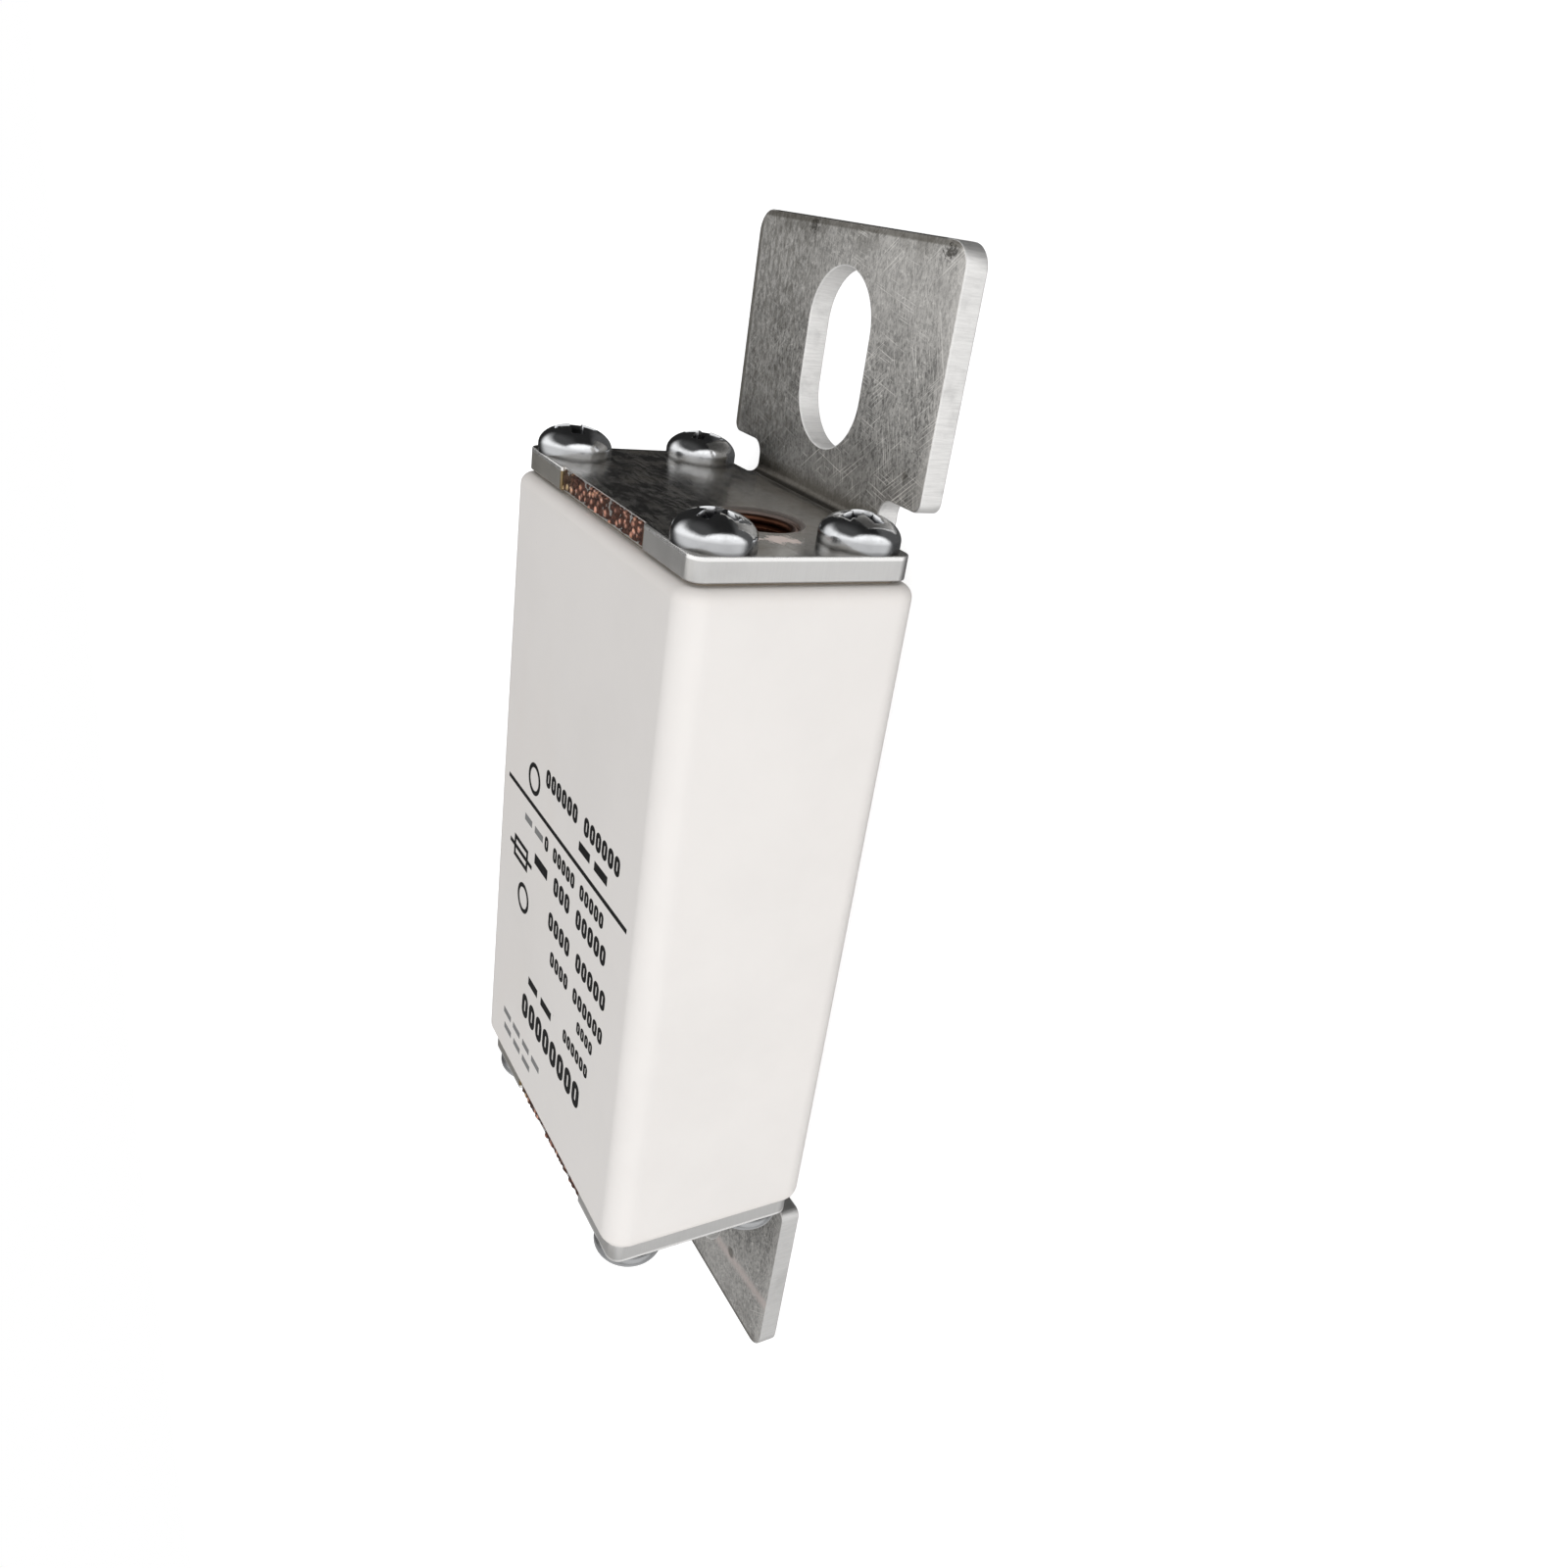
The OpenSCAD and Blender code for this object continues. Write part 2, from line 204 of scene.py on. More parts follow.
class FuseStage(PropertyGroup):
    """The floor, the light and the camera"""

    floor: size_setting("Floor", "Side of the square floor", 6000)
    floor_grey: number_setting("Floor tone", "How pale the floor is", 0.75)
    glow: number_setting("Floor glow", "Light added where the floor is seen", 0.72)
    key: number_setting("Key light", "Power of the light in front", 2.2, "POWER")
    top: number_setting("Top light", "Power of the light above", 0.65, "POWER")
    ambient: number_setting("Ambient", "Strength of the light all round", 0.55)
    lens: number_setting("Lens", "Focal length in millimetres", 28.2, "CAMERA")
    camera: vector_setting("Camera", "Place of the camera", (0.05561, -0.0913, 0.05971), "TRANSLATION")
    look: vector_setting(
        "Look", "Direction in which the camera looks", (-0.41935, 0.76014, -0.49633), "DIRECTION"
    )
    upward: vector_setting(
        "Upward", "Direction that is up in the picture", (0.89623, 0.43376, -0.09291), "DIRECTION"
    )


class Wire:
    """A node's output that takes part in Python expressions"""

    def __init__(self, graph, socket):
        self.graph = graph
        self.socket = socket

    def math(self, operation, *values):
        return self.graph.node("ShaderNodeMath", dict(enumerate(values)), operation=operation)

    def __add__(self, other):
        return self.math("ADD", self, other)

    def __radd__(self, other):
        return self.math("ADD", other, self)

    def __sub__(self, other):
        return self.math("SUBTRACT", self, other)

    def __rsub__(self, other):
        return self.math("SUBTRACT", other, self)

    def __mul__(self, other):
        return self.math("MULTIPLY", self, other)

    def __rmul__(self, other):
        return self.math("MULTIPLY", other, self)

    def __truediv__(self, other):
        return self.math("DIVIDE", self, other)

    def __rtruediv__(self, other):
        return self.math("DIVIDE", other, self)

    def __mod__(self, other):
        return self.math("MODULO", self, other)

    def __or__(self, other):
        """Whichever of the two is larger"""
        return self.math("MAXIMUM", self, other)

    def __abs__(self):
        return self.math("ABSOLUTE", self)

    def root(self):
        return self.math("SQRT", self)


class Graph:
    """A node tree and the calls that add to it"""

    def __init__(self, tree):
        self.tree = tree

    def node(self, kind, inputs=None, output=0, **settings):
        """Adds one node: its settings first, then the values or links of its inputs"""
        node = self.tree.nodes.new(kind)
        for name, value in settings.items():
            setattr(node, name, value)
        for name, value in (inputs or {}).items():
            self.feed(self.find(node.inputs, name), value)
        return Wire(self, self.find(node.outputs, output))

    def find(self, sockets, name):
        if isinstance(name, int):
            return sockets[name]
        return next(s for s in sockets if name in (s.identifier, s.name) and s.enabled)

    def feed(self, socket, value):
        if isinstance(value, Wire):
            self.tree.links.new(value.socket, socket)
        else:
            socket.default_value = value

    def step(self, value, low, high, start=0.0, end=1.0):
        """A smooth change from start to end as the value goes from low to high"""
        inputs = {"Value": value, "From Min": low, "From Max": high, "To Min": start, "To Max": end}
        return self.node("ShaderNodeMapRange", inputs, interpolation_type="SMOOTHSTEP")

    def below(self, value, low, high):
        """1 where the value is under low, and 0 where it is over high"""
        return self.step(value, low, high, 1, 0)

    def combine(self, x, y, z):
        return self.node("ShaderNodeCombineXYZ", {"X": x, "Y": y, "Z": z})

    def split(self, vector):
        return [self.node("ShaderNodeSeparateXYZ", {"Vector": vector}, axis) for axis in "XYZ"]


class Paint(Graph):
    """A node material on the Principled shader, read in object coordinates"""

    def __init__(self, name):
        self.material = bpy.data.materials.new(name)
        self.material.use_nodes = True
        super().__init__(self.material.node_tree)
        self.shader = self.tree.nodes["Principled BSDF"]
        self.place = self.node("ShaderNodeTexCoord", output="Object")
        self.x, self.y, self.z = self.split(self.place)
        self.out = abs(self.x)

    def finish(self, **values):
        """Sets the shader's sockets, with an underscore for each space in a name, and gives the material"""
        for name, value in values.items():
            self.feed(self.shader.inputs[name.replace("_", " ")], value)
        return self.material

    def reach(self, across, upward):
        """Distance from an axis, given how far off it the place is each way"""
        return (across * across + upward * upward).root()

    def off_filler(self):
        """Distance from the axis of the filling hole"""
        return self.reach(self.y - FILLER_Y, self.z - FILLER_Z)

    def scaled(self, x, y, z):
        """The place with each axis stretched, for a grain that runs one way"""
        return self.node("ShaderNodeVectorMath", {0: self.place, 1: (x, y, z)}, operation="MULTIPLY")

    def turned(self, angles, size):
        """The place turned and then divided by a streak's size, for marks in one direction"""
        inputs = {"Vector": self.place, "Rotation": angles, "Scale": size}
        return self.node("ShaderNodeMapping", inputs, vector_type="TEXTURE")

    def noise(self, size, detail, roughness, vector=None, seed=0.0):
        """Soft noise from 0 to 1 whose patches are about size millimetres across"""
        inputs = {
            "Vector": vector or self.place,
            "W": seed,
            "Scale": 1 / (size * MM),
            "Detail": detail,
            "Roughness": roughness,
        }
        return self.node("ShaderNodeTexNoise", inputs, noise_dimensions="4D")

    def cells(self, size):
        """Distance to the nearest point of a scatter whose points are about size millimetres apart"""
        return self.node("ShaderNodeTexVoronoi", {"Vector": self.place, "Scale": 1 / (size * MM)}, "Distance")

    def mix(self, factor, first, second):
        """Mixes two colours"""
        first, second = (c if isinstance(c, Wire) else (*c, 1) for c in (first, second))
        inputs = {"Factor_Float": factor, "A_Color": first, "B_Color": second}
        return self.node("ShaderNodeMix", inputs, "Result_Color", data_type="RGBA")

    def layers(self, colour, *layers):
        """A colour with others laid over it, each by its own share"""
        for share, over in layers:
            colour = self.mix(share, colour, over)
        return colour

    def mix_vectors(self, factor, first, second):
        inputs = {"Factor_Float": factor, "A_Vector": first, "B_Vector": second}
        return self.node("ShaderNodeMix", inputs, "Result_Vector", data_type="VECTOR")

    def bumps(self, *bumps):
        """Bumps over one another, each a height and what a height of 1 is in millimetres"""
        inputs = {}
        for height, depth in bumps:
            inputs.update({"Height": height, "Distance": depth * MM})
            inputs["Normal"] = self.node("ShaderNodeBump", inputs)
        return inputs["Normal"]


def shade(colour, *shares):
    """A colour made darker or paler, by one share or by one for each channel"""
    if len(shares) == 1:
        shares = shares * 3
    return tuple(min(1, channel * share) for channel, share in zip(colour, shares))


def ceramic_finish(colours):
    """Smooth white steatite: faint cloudiness, a few dark specks and pinholes, a low satin gloss"""
    paint = Paint("white_steatite")
    cloud = paint.noise(14, 4, 0.6)
    grain = paint.noise(0.35, 2, 0.6, seed=3)
    speck_size = paint.noise(9, 2, 0.5, seed=8)
    speck = paint.below(paint.cells(4.2), 0.035, 0.06) * paint.step(speck_size, 0.56, 0.66)
    smudge = paint.step(paint.noise(22, 3, 0.55, paint.scaled(0.35, 1, 1), 5), 0.52, 0.75)
    rim = paint.step(paint.out, BODY_HIGH.x - 2.2 * MM, BODY_HIGH.x)
    skin = paint.noise(1.6, 3, 0.55, seed=2)
    warm = shade(colours.ceramic, 0.95, 0.91, 0.87)
    colour = paint.layers(
        colours.ceramic,
        (paint.step(cloud, 0.35, 0.7), shade(colours.ceramic, 0.965)),
        (smudge * 0.4, warm),
        (rim * grain * 0.5, warm),
        (speck * 0.75, (0.16, 0.13, 0.11)),
    )
    return paint.finish(
        Base_Color=colour,
        Roughness=0.40 + 0.10 * cloud + 0.08 * grain,
        Specular_IOR_Level=0.45,
        Normal=paint.bumps((1 - speck, 0.08), (skin, 0.012), (grain, 0.003)),
    )


def scratches(paint, angle, seed, length=6.0):
    """Fine straight scratches in one direction on a wide face"""
    line = paint.noise(1, 1, 0.4, paint.turned((0, 0, angle), (length, 0.13, 1)), seed)
    patch = paint.noise(5, 2, 0.5, seed=seed + 1)
    return paint.step(line, 0.62, 0.68) * paint.step(patch, 0.40, 0.58)


def tin_finish(colours):
    """Rolled tin plate of the tags: light and dark flecks along the sheet, scuffs, bruises and old grime,
    with painted shade in the bend and along the free end and the +Y edge, and a painted highlight along the
    long edges
    """
    paint = Paint("rolled_tin")
    streak = paint.noise(0.22, 4, 0.75, paint.scaled(0.50, 1, 0.5))
    mottle = paint.noise(0.42, 5, 0.75, seed=2)
    patch = paint.noise(7, 3, 0.55, seed=6)
    blotch = paint.noise(2.2, 4, 0.6, seed=7)
    fine = paint.noise(0.16, 2, 0.6, seed=9)
    grime = paint.step(paint.noise(0.5, 4, 0.75, paint.scaled(0.5, 1, 1), 12), 0.44, 0.58)
    marks = scratches(paint, 0.4, 1) + scratches(paint, -0.9, 4) + scratches(paint, 1.35, 7, 4)
    marks = marks * paint.step(paint.y, -3 * MM, 7 * MM, 1, 0.35)
    heel = paint.below(paint.out, PLATE_FACE + 1.5 * MM, SLOT_X - 1 * MM)
    # Painted shade: the inner bend is darkened where its fillet would mirror the bright sky
    bend = paint.below(paint.out, PLATE_FACE + 0.8 * MM, PLATE_FACE + 2.2 * MM)
    # Painted highlight: a paler band along both long edges of the tag
    rim = paint.step(abs(paint.y), PLATE_HIGH.y - 3.2 * MM, PLATE_HIGH.y - 2.2 * MM)
    end = paint.step(paint.out, PLATE_HIGH.x - 2.6 * MM, PLATE_HIGH.x - 0.6 * MM)
    far = paint.step(paint.out, SLOT_X - 3 * MM, SLOT_X + 7 * MM)
    dent = paint.below(paint.cells(9.5), 0.05, 0.09) * paint.step(patch, 0.45, 0.5)
    for x, y in TAG_NICKS:
        nick = paint.reach(paint.x - x * MM, (paint.y - y * MM) * 0.6) + mottle * 2.4 * MM
        dent = dent | paint.below(nick, 1.2 * MM, 1.7 * MM)
    along = abs(paint.x + STREAK_X + (paint.y + 10 * MM) * 0.1)
    rubbed = paint.below(along + mottle * 0.9 * MM, 0.5 * MM, 1.6 * MM)
    rubbed = rubbed * paint.below(paint.y, -5 * MM, -3 * MM)
    tag_y = PLATE_HIGH.y - 1.95 * MM
    # Painted shade: thin dark lines just inside the free end and the +Y edge of each tag, where the rounded
    # edges turn from the light
    edge_x = paint.step(paint.out + fine * 0.2 * MM, PLATE_HIGH.x - 0.52 * MM, PLATE_HIGH.x - 0.34 * MM)
    edge_y = paint.step(paint.y + fine * 0.2 * MM, tag_y - 0.46 * MM, tag_y - 0.28 * MM)
    dull = shade(colours.tin, 0.30)
    dirt_and_shade = shade(colours.tin, 0.20, 0.185, 0.155)
    bright = shade(colours.tin, 1.65)
    colour = paint.layers(
        dull,
        (paint.step(streak, 0.40, 0.58), colours.tin),
        (paint.step(mottle, 0.46, 0.60) * 0.4, colours.tin),
        (paint.step(mottle, 0.56, 0.66) * 0.7, bright),
        (paint.step(blotch, 0.50, 0.66) * 0.35, dull),
        (paint.step(patch, 0.42, 0.7) * 0.25, bright),
        (far * 0.22, bright),
        (heel * 0.55, dull),
        (paint.step(paint.y, 1 * MM, 9 * MM) * grime * 0.50, dirt_and_shade),
        (bend * 0.75, dirt_and_shade),
        (end * paint.step(blotch, 0.40, 0.60) * 0.35, dirt_and_shade),
        (rim * 0.30, bright),
        (marks * (1 - bend) * 0.7, bright),
        (rubbed * 0.7, (0.90, 0.79, 0.75)),
        (dent * 0.7, dirt_and_shade),
        ((edge_x | edge_y) * 0.65, dirt_and_shade),
    )
    return paint.finish(
        Base_Color=colour,
        Metallic=1.0,
        Roughness=0.22 + 0.18 * mottle + 0.08 * fine,
        Normal=paint.bumps((streak, 0.010), (mottle - dent * 4, 0.014), (fine - marks * 0.8, 0.004)),
    )


def end_plate_finish(colours):
    """The glossier tin over the body's ends, with a warm ring of painted reflection round the filling hole
    and a pale patch of painted highlight beside it
    """
    paint = Paint("end_plate_tin")
    streak = paint.noise(0.5, 4, 0.65, paint.scaled(1, 0.2, 1))
    cloud = paint.noise(2.6, 5, 0.65, seed=2)
    fine = paint.noise(0.25, 2, 0.6, seed=9)
    torn = paint.noise(0.9, 4, 0.7, seed=5)
    # Painted reflection of the copper plug, with a warm tint: a pinkish ring round the filling hole
    plug_reflection_ring = paint.below(paint.off_filler() + cloud * 1.2 * MM, FILLER_R + 0.5 * MM, FILLER_R + 2.0 * MM)
    # Painted highlight: a pale pink patch beside the filling hole, made less metallic and rougher so that it
    # stays pale
    beside = paint.reach(paint.y - (FILLER_Y - 5.8 * MM), (paint.z - (FILLER_Z + 1.0 * MM)) * 0.6)
    pale_highlight_patch = paint.below(beside + torn * 3.2 * MM, 2.3 * MM, 2.8 * MM)
    film = paint.step(cloud * 0.55 + streak * 0.45, 0.44, 0.58)
    haze = shade(colours.tin, 0.62, 0.58, 0.52)
    colour = paint.layers(
        colours.tin,
        (paint.step(cloud, 0.42, 0.68) * 0.8, haze),
        (paint.step(streak, 0.5, 0.75) * 0.3, haze),
        (plug_reflection_ring * 0.4, (0.58, 0.46, 0.40)),
        (pale_highlight_patch, (0.93, 0.79, 0.73)),
    )
    return paint.finish(
        Base_Color=colour,
        Metallic=1 - 0.84 * pale_highlight_patch - 0.20 * film,
        Roughness=0.11 + 0.12 * cloud + 0.08 * streak + 0.3 * pale_highlight_patch,
        Normal=paint.bumps((streak, 0.016), (fine, 0.0012)),
    )


def sheared_finish(colours):
    """A stamped edge: fine lines through the sheet's thickness, brighter than the face"""
    paint = Paint("sheared_edge")
    on_plate = paint.below(paint.out, PLATE_FACE - 0.1 * MM, PLATE_FACE + 0.1 * MM)
    through = paint.mix_vectors(on_plate, paint.scaled(1, 1, 0.07), paint.scaled(0.07, 1, 1))
    lines = paint.noise(0.16, 4, 0.7, through)
    wear = paint.noise(2.4, 4, 0.6, seed=3)
    # Painted shade: the flared mouth of the filling hole is dimmed to a pinkish grey
    flare = paint.below(paint.off_filler(), FILLER_R + 0.6 * MM, FILLER_R + 0.8 * MM) * on_plate
    # Painted highlight: the rolled rim next to the end plate's outer face is made nearly white, as well as
    # smoother
    rolled = paint.step(paint.out, PLATE_FACE - 0.42 * MM, PLATE_FACE - 0.28 * MM) * on_plate * (1 - flare)
    upper = paint.step(paint.z, PLATE_HIGH.z - 0.5 * MM, PLATE_HIGH.z - 0.2 * MM) * on_plate
    notch = paint.below(abs(abs(paint.y) - TORN_EDGE), 0.1 * MM, 0.3 * MM)
    slot = paint.below(paint.reach(paint.out - SLOT_X, paint.y), SLOT_REACH, SLOT_REACH + 0.2 * MM)
    # Painted shade: the stamped edges of the left terminal, outside its slot, are darkened
    lower = paint.below(paint.x, -PLATE_FACE - 3 * MM, -PLATE_FACE - 1 * MM)
    # Painted shade: a dark line across the free end of each tag, away from its corners
    inner = paint.below(abs(paint.y), PLATE_HIGH.y - 5 * MM, PLATE_HIGH.y - 4 * MM)
    cut = paint.step(paint.out, PLATE_HIGH.x - 0.6 * MM, PLATE_HIGH.x - 0.4 * MM) * inner
    dull = shade(colours.sheared, 0.60)
    colour = paint.layers(
        colours.sheared,
        (on_plate, shade(colours.sheared, 0.67)),
        (paint.step(lines, 0.3, 0.75) * 0.4, dull),
        (paint.step(wear, 0.5, 0.75) * 0.5, dull),
        (upper * paint.step(paint.y, -10 * MM, 12 * MM, 0.15, 0.6), (0.36, 0.335, 0.28)),
        (notch * upper * 0.9, (0.22, 0.15, 0.06)),
        (lower * (1 - slot) * 0.5, dull),
        (rolled * 0.9, (0.95, 0.94, 0.925)),
        (flare * 0.9, (0.40, 0.34, 0.31)),
        (cut * 0.92, (0.06, 0.057, 0.053)),
    )
    return paint.finish(
        Base_Color=colour,
        Metallic=0.9 - 0.6 * slot,
        Roughness=0.44 + 0.18 * wear - 0.14 * on_plate - 0.12 * rolled,
        Normal=paint.bumps((wear, 0.03), (lines, 0.02)),
    )


def zinc_finish(colours, screw_y, screw_z, head_r, crown):
    """Bright zinc on rolled screws: a fine grain, painted shade in the recess and where the head meets the
    plate, and a darker skirt of painted shade
    """
    paint = Paint("zinc_screws")
    haze = paint.noise(1.5, 4, 0.6)
    fine = paint.noise(0.12, 2, 0.6, seed=2)
    radius = paint.reach(abs(paint.y) - screw_y, abs(paint.z - MIDDLE_Z) - screw_z)
    ratio = radius / head_r
    level = (1 - ratio * ratio | 0.0).root()
    dip = SCREWS_HIGH.x - crown * (1 - level) - paint.out
    # Painted shade: the cross recess goes near-black below its rim
    recess = paint.step(dip, 0.04 * MM, 0.55 * MM) * paint.below(radius, 1.9 * MM, 2.2 * MM)
    # Painted shade where the head meets the plate
    foot = paint.below(paint.out + haze * 0.3 * MM, PLATE_FACE + 0.2 * MM, PLATE_FACE + 0.5 * MM)
    # Painted shade: a darker band of zinc on the skirt, which is also rougher
    skirt = paint.below(paint.out + haze * 0.2 * MM, PLATE_FACE + 0.85 * MM, PLATE_FACE + 1.15 * MM)
    colour = paint.layers(
        colours.zinc,
        (paint.step(haze, 0.4, 0.7), shade(colours.zinc, 0.80)),
        (skirt * 0.8, shade(colours.zinc, 0.55)),
        (recess * 0.92, (0.03, 0.03, 0.035)),
        (foot * 0.6, (0.10, 0.10, 0.10)),
    )
    return paint.finish(
        Base_Color=colour,
        Metallic=1.0,
        Roughness=0.07 + 0.07 * haze + 0.04 * fine + 0.2 * recess + 0.12 * skirt,
        Normal=paint.bumps((haze, 0.02), (fine, 0.002)),
    )


def plug_finish(colours):
    """Copper, pink on the lip, with painted shade in the cup: near-black brown with some tarnish, a little
    lighter towards the cup's wall
    """
    paint = Paint("plug_copper")
    radius = paint.off_filler()
    lip = paint.step(radius, FILLER_R - 0.36 * MM, FILLER_R - 0.22 * MM)
    # Painted shade: the cup's floor stays near-black and its wall is a little lighter
    wall = paint.step(radius, FILLER_R - 1.1 * MM, FILLER_R - 0.8 * MM)
    outside = paint.step(paint.out, PLUG_HIGH.x - 0.6 * MM, PLUG_HIGH.x - 0.3 * MM)
    stain = paint.noise(1.1, 4, 0.65)
    fine = paint.noise(0.2, 3, 0.6, seed=4)
    pink = paint.mix(stain * 0.2, (0.66, 0.54, 0.48), colours.copper)
    colour = paint.layers(
        colours.tarnish,
        (wall * (0.3 + 0.7 * stain), shade(colours.copper, 0.2)),
        (paint.step(stain, 0.5, 0.8) * 0.12, colours.copper),
        (lip * outside, pink),
    )
    return paint.finish(
        Base_Color=colour,
        Metallic=1.0,
        Roughness=0.30 + 0.25 * stain,
        Normal=paint.bumps((stain, 0.04), (fine, 0.01)),
    )


def broken_finish(colours):
    """Torn copper: painted glints on the lumps, and painted shade with some tarnish in the crevices between
    them
    """
    paint = Paint("broken_copper")
    depth = paint.node("ShaderNodeAttribute", output="Fac", attribute_name="crevice")
    stain = paint.noise(0.6, 4, 0.65)
    fine = paint.noise(0.12, 3, 0.6, seed=2)
    far = paint.step(paint.y + stain * 2 * MM, 6.5 * MM, 8.5 * MM)
    colour = paint.layers(
        colours.torn,
        (paint.step(stain, 0.5, 0.72) * 0.6, (0.50, 0.36, 0.16)),
        (far * 0.8, (0.62, 0.50, 0.25)),
        # Painted highlights: pale pink glints on the lumps
        (paint.step(fine, 0.5, 0.72) * 0.8, (0.98, 0.82, 0.74)),
        # Painted shade with some tarnish: the hollows between the lumps go near-black brown
        (paint.step(depth, 0.28, 0.50) * 0.94, colours.tarnish),
    )
    return paint.finish(
        Base_Color=colour,
        Metallic=0.8,
        Roughness=0.24 + 0.25 * stain,
        Normal=paint.bumps((fine, 0.02)),
    )


def ink_finish(name, tone, fade):
    """Stamped ink that is thin in places, so that some of the ceramic shows through"""
    paint = Paint(name)
    thin = paint.step(paint.noise(0.8, 4, 0.7), 0.5, 0.8) * 0.3
    pale = tuple(c + (0.75 - c) * fade for c in tone)
    return paint.finish(
        Base_Color=paint.mix(thin, pale, tuple(c + 0.09 for c in pale)),
        Roughness=0.6 + 0.2 * thin,
        Specular_IOR_Level=0.2,
        Normal=paint.bumps((paint.noise(0.15, 2, 0.6), 0.004)),
    )


def fibre_finish(colours):
    """Pressed fibre of the gaskets: matted threads"""
    paint = Paint("fibre_gasket")
    threads = paint.noise(0.25, 4, 0.7, paint.turned((0.5, 0, 0), (1, 5, 1)))
    more = paint.noise(0.25, 4, 0.7, paint.turned((-0.9, 0, 0), (1, 5, 1)), 3)
    return paint.finish(
        Base_Color=paint.mix(threads * more * 2, shade(colours.fibre, 0.6), colours.fibre),
        Roughness=0.85 + 0.1 * threads,
        Normal=paint.bumps((threads + more, 0.03)),
    )


def contact_finish(colours):
    """Machined copper of the inner contact plates, a little tarnished"""
    paint = Paint("contact_copper")
    stain = paint.noise(4, 4, 0.6)
    lines = paint.noise(0.2, 3, 0.6, paint.scaled(1, 0.1, 1), 2)
    brown = shade(colours.copper, 0.45)
    return paint.finish(
        Base_Color=paint.mix(paint.step(stain, 0.35, 0.75) * 0.6, colours.copper, brown),
        Metallic=1.0,
        Roughness=0.28 + 0.2 * stain,
        Normal=paint.bumps((lines, 0.006)),
    )


def silver_finish(colours):
    """Rolled silver of the strips, with sulphide haze"""
    paint = Paint("silver_strip")
    haze = paint.noise(3, 4, 0.6)
    lines = paint.noise(0.15, 3, 0.6, paint.scaled(0.06, 1, 1), 2)
    warm = shade(colours.silver, 0.8, 0.74, 0.62)
    return paint.finish(
        Base_Color=paint.mix(paint.step(haze, 0.4, 0.75) * 0.6, colours.silver, warm),
        Metallic=1.0,
        Roughness=0.2 + 0.15 * haze,
        Normal=paint.bumps((lines, 0.004)),
    )


def sand_finish(colours):
    """Packed quartz grains of several tones"""
    paint = Paint("quartz_sand")
    grain = paint.cells(0.35)
    tone = paint.noise(0.3, 2, 0.6, seed=2)
    dark = shade(colours.sand, 0.55)
    colour = paint.mix(paint.step(tone, 0.35, 0.7), dark, shade(colours.sand, 1.25))
    return paint.finish(
        Base_Color=paint.mix(paint.step(grain, 0.3, 0.7) * 0.5, colour, dark),
        Roughness=0.75 + 0.2 * tone,
        Normal=paint.bumps((1 - grain, 0.12)),
    )


def new_object(name, data):
    piece = bpy.data.objects.new(name, data)
    bpy.context.scene.collection.objects.link(piece)
    return piece


@contextmanager
def edited(mesh):
    """The mesh's content to work on, which goes back into the mesh at the end"""
    work = bmesh.new()
    work.from_mesh(mesh)
    yield work
    work.to_mesh(mesh)
    work.free()


def solid_copy(node, name):
    """A copy of a CAD node's mesh with its loose triangles joined into whole faces"""
    mesh = frame["nodes"][node].data.copy()
    mesh.name = name
    if mesh.has_custom_normals:
        mesh.attributes.remove(mesh.attributes["custom_normal"])
    with edited(mesh) as work:
        bmesh.ops.remove_doubles(work, verts=work.verts, dist=0.001 * MM)
        bmesh.ops.dissolve_limit(work, angle_limit=math.radians(1), verts=work.verts, edges=work.edges)
    mesh.materials.clear()
    return new_object(name, mesh)


def made_plain(piece):
    """Turns a piece with live modifiers into a plain mesh"""
    bpy.context.view_layer.update()
    graph = bpy.context.evaluated_depsgraph_get()
    mesh = bpy.data.meshes.new_from_object(piece.evaluated_get(graph), depsgraph=graph)
    mesh.name = piece.name
    piece.modifiers.clear()
    piece.data = mesh
    return piece


def round_edges(piece, width, segments, angle, chosen=None):
    """Rounds the sharp edges, or only those of them that chosen picks by their middle"""
    with edited(piece.data) as work:
        sharp = [
            e
            for e in work.edges
            if e.is_manifold
            and e.calc_face_angle() > math.radians(angle)
            and (chosen is None or chosen((e.verts[0].co + e.verts[1].co) / 2))
        ]
        shape = {"profile": 0.5, "affect": "EDGES", "clamp_overlap": True, "miter_outer": "ARC"}
        bmesh.ops.bevel(work, geom=sharp, offset=width, segments=segments, **shape)


def smooth(piece, sharpest=50):
    """Gives smooth normals that follow the large faces, with edges above the angle left sharp"""
    piece.data.shade_smooth()
    piece.data.set_sharp_from_angle(angle=math.radians(sharpest))
    weighted = piece.modifiers.new("Weighted normals", "WEIGHTED_NORMAL")
    weighted.keep_sharp = True
    return made_plain(piece)


def dress(piece, slot, *nodes):
    """Hides the CAD nodes that a finished piece stands for, and hangs the piece under the root empty"""
    if nodes:
        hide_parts(*nodes)
    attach(piece, "root")


def give(piece, *materials):
    piece.data.materials.clear()
    for material in materials:
        piece.data.materials.append(material)


def sort_terminal_faces(piece):
    """Gives each face of a terminal its finish, by its place and the way it faces"""
    for face in piece.data.polygons:
        out, up = abs(face.center.x), face.center.z
        along, across, level = (abs(part) for part in face.normal)
        flat_tag = out > PLATE_FACE + 0.1 * MM and up < SHEET + 1.2 * MM and level > 0.95
        near_bend = out < PLATE_FACE + 2 * MM and up < SHEET + 1.6 * MM
        bend = near_bend and across < 0.1 and min(along, level) > 0.05
        inner = out < PLATE_LOW.x + 0.05 * MM and along > 0.97
        on_face = abs(out - PLATE_FACE) < 0.05 * MM and along > 0.97
        outer = on_face and face.center.x * face.normal.x >= 0 and up > SHEET
        rolled = flat_tag or bend or inner
        face.material_index = GLOSSY if outer else (ROLLED if rolled else STAMPED)


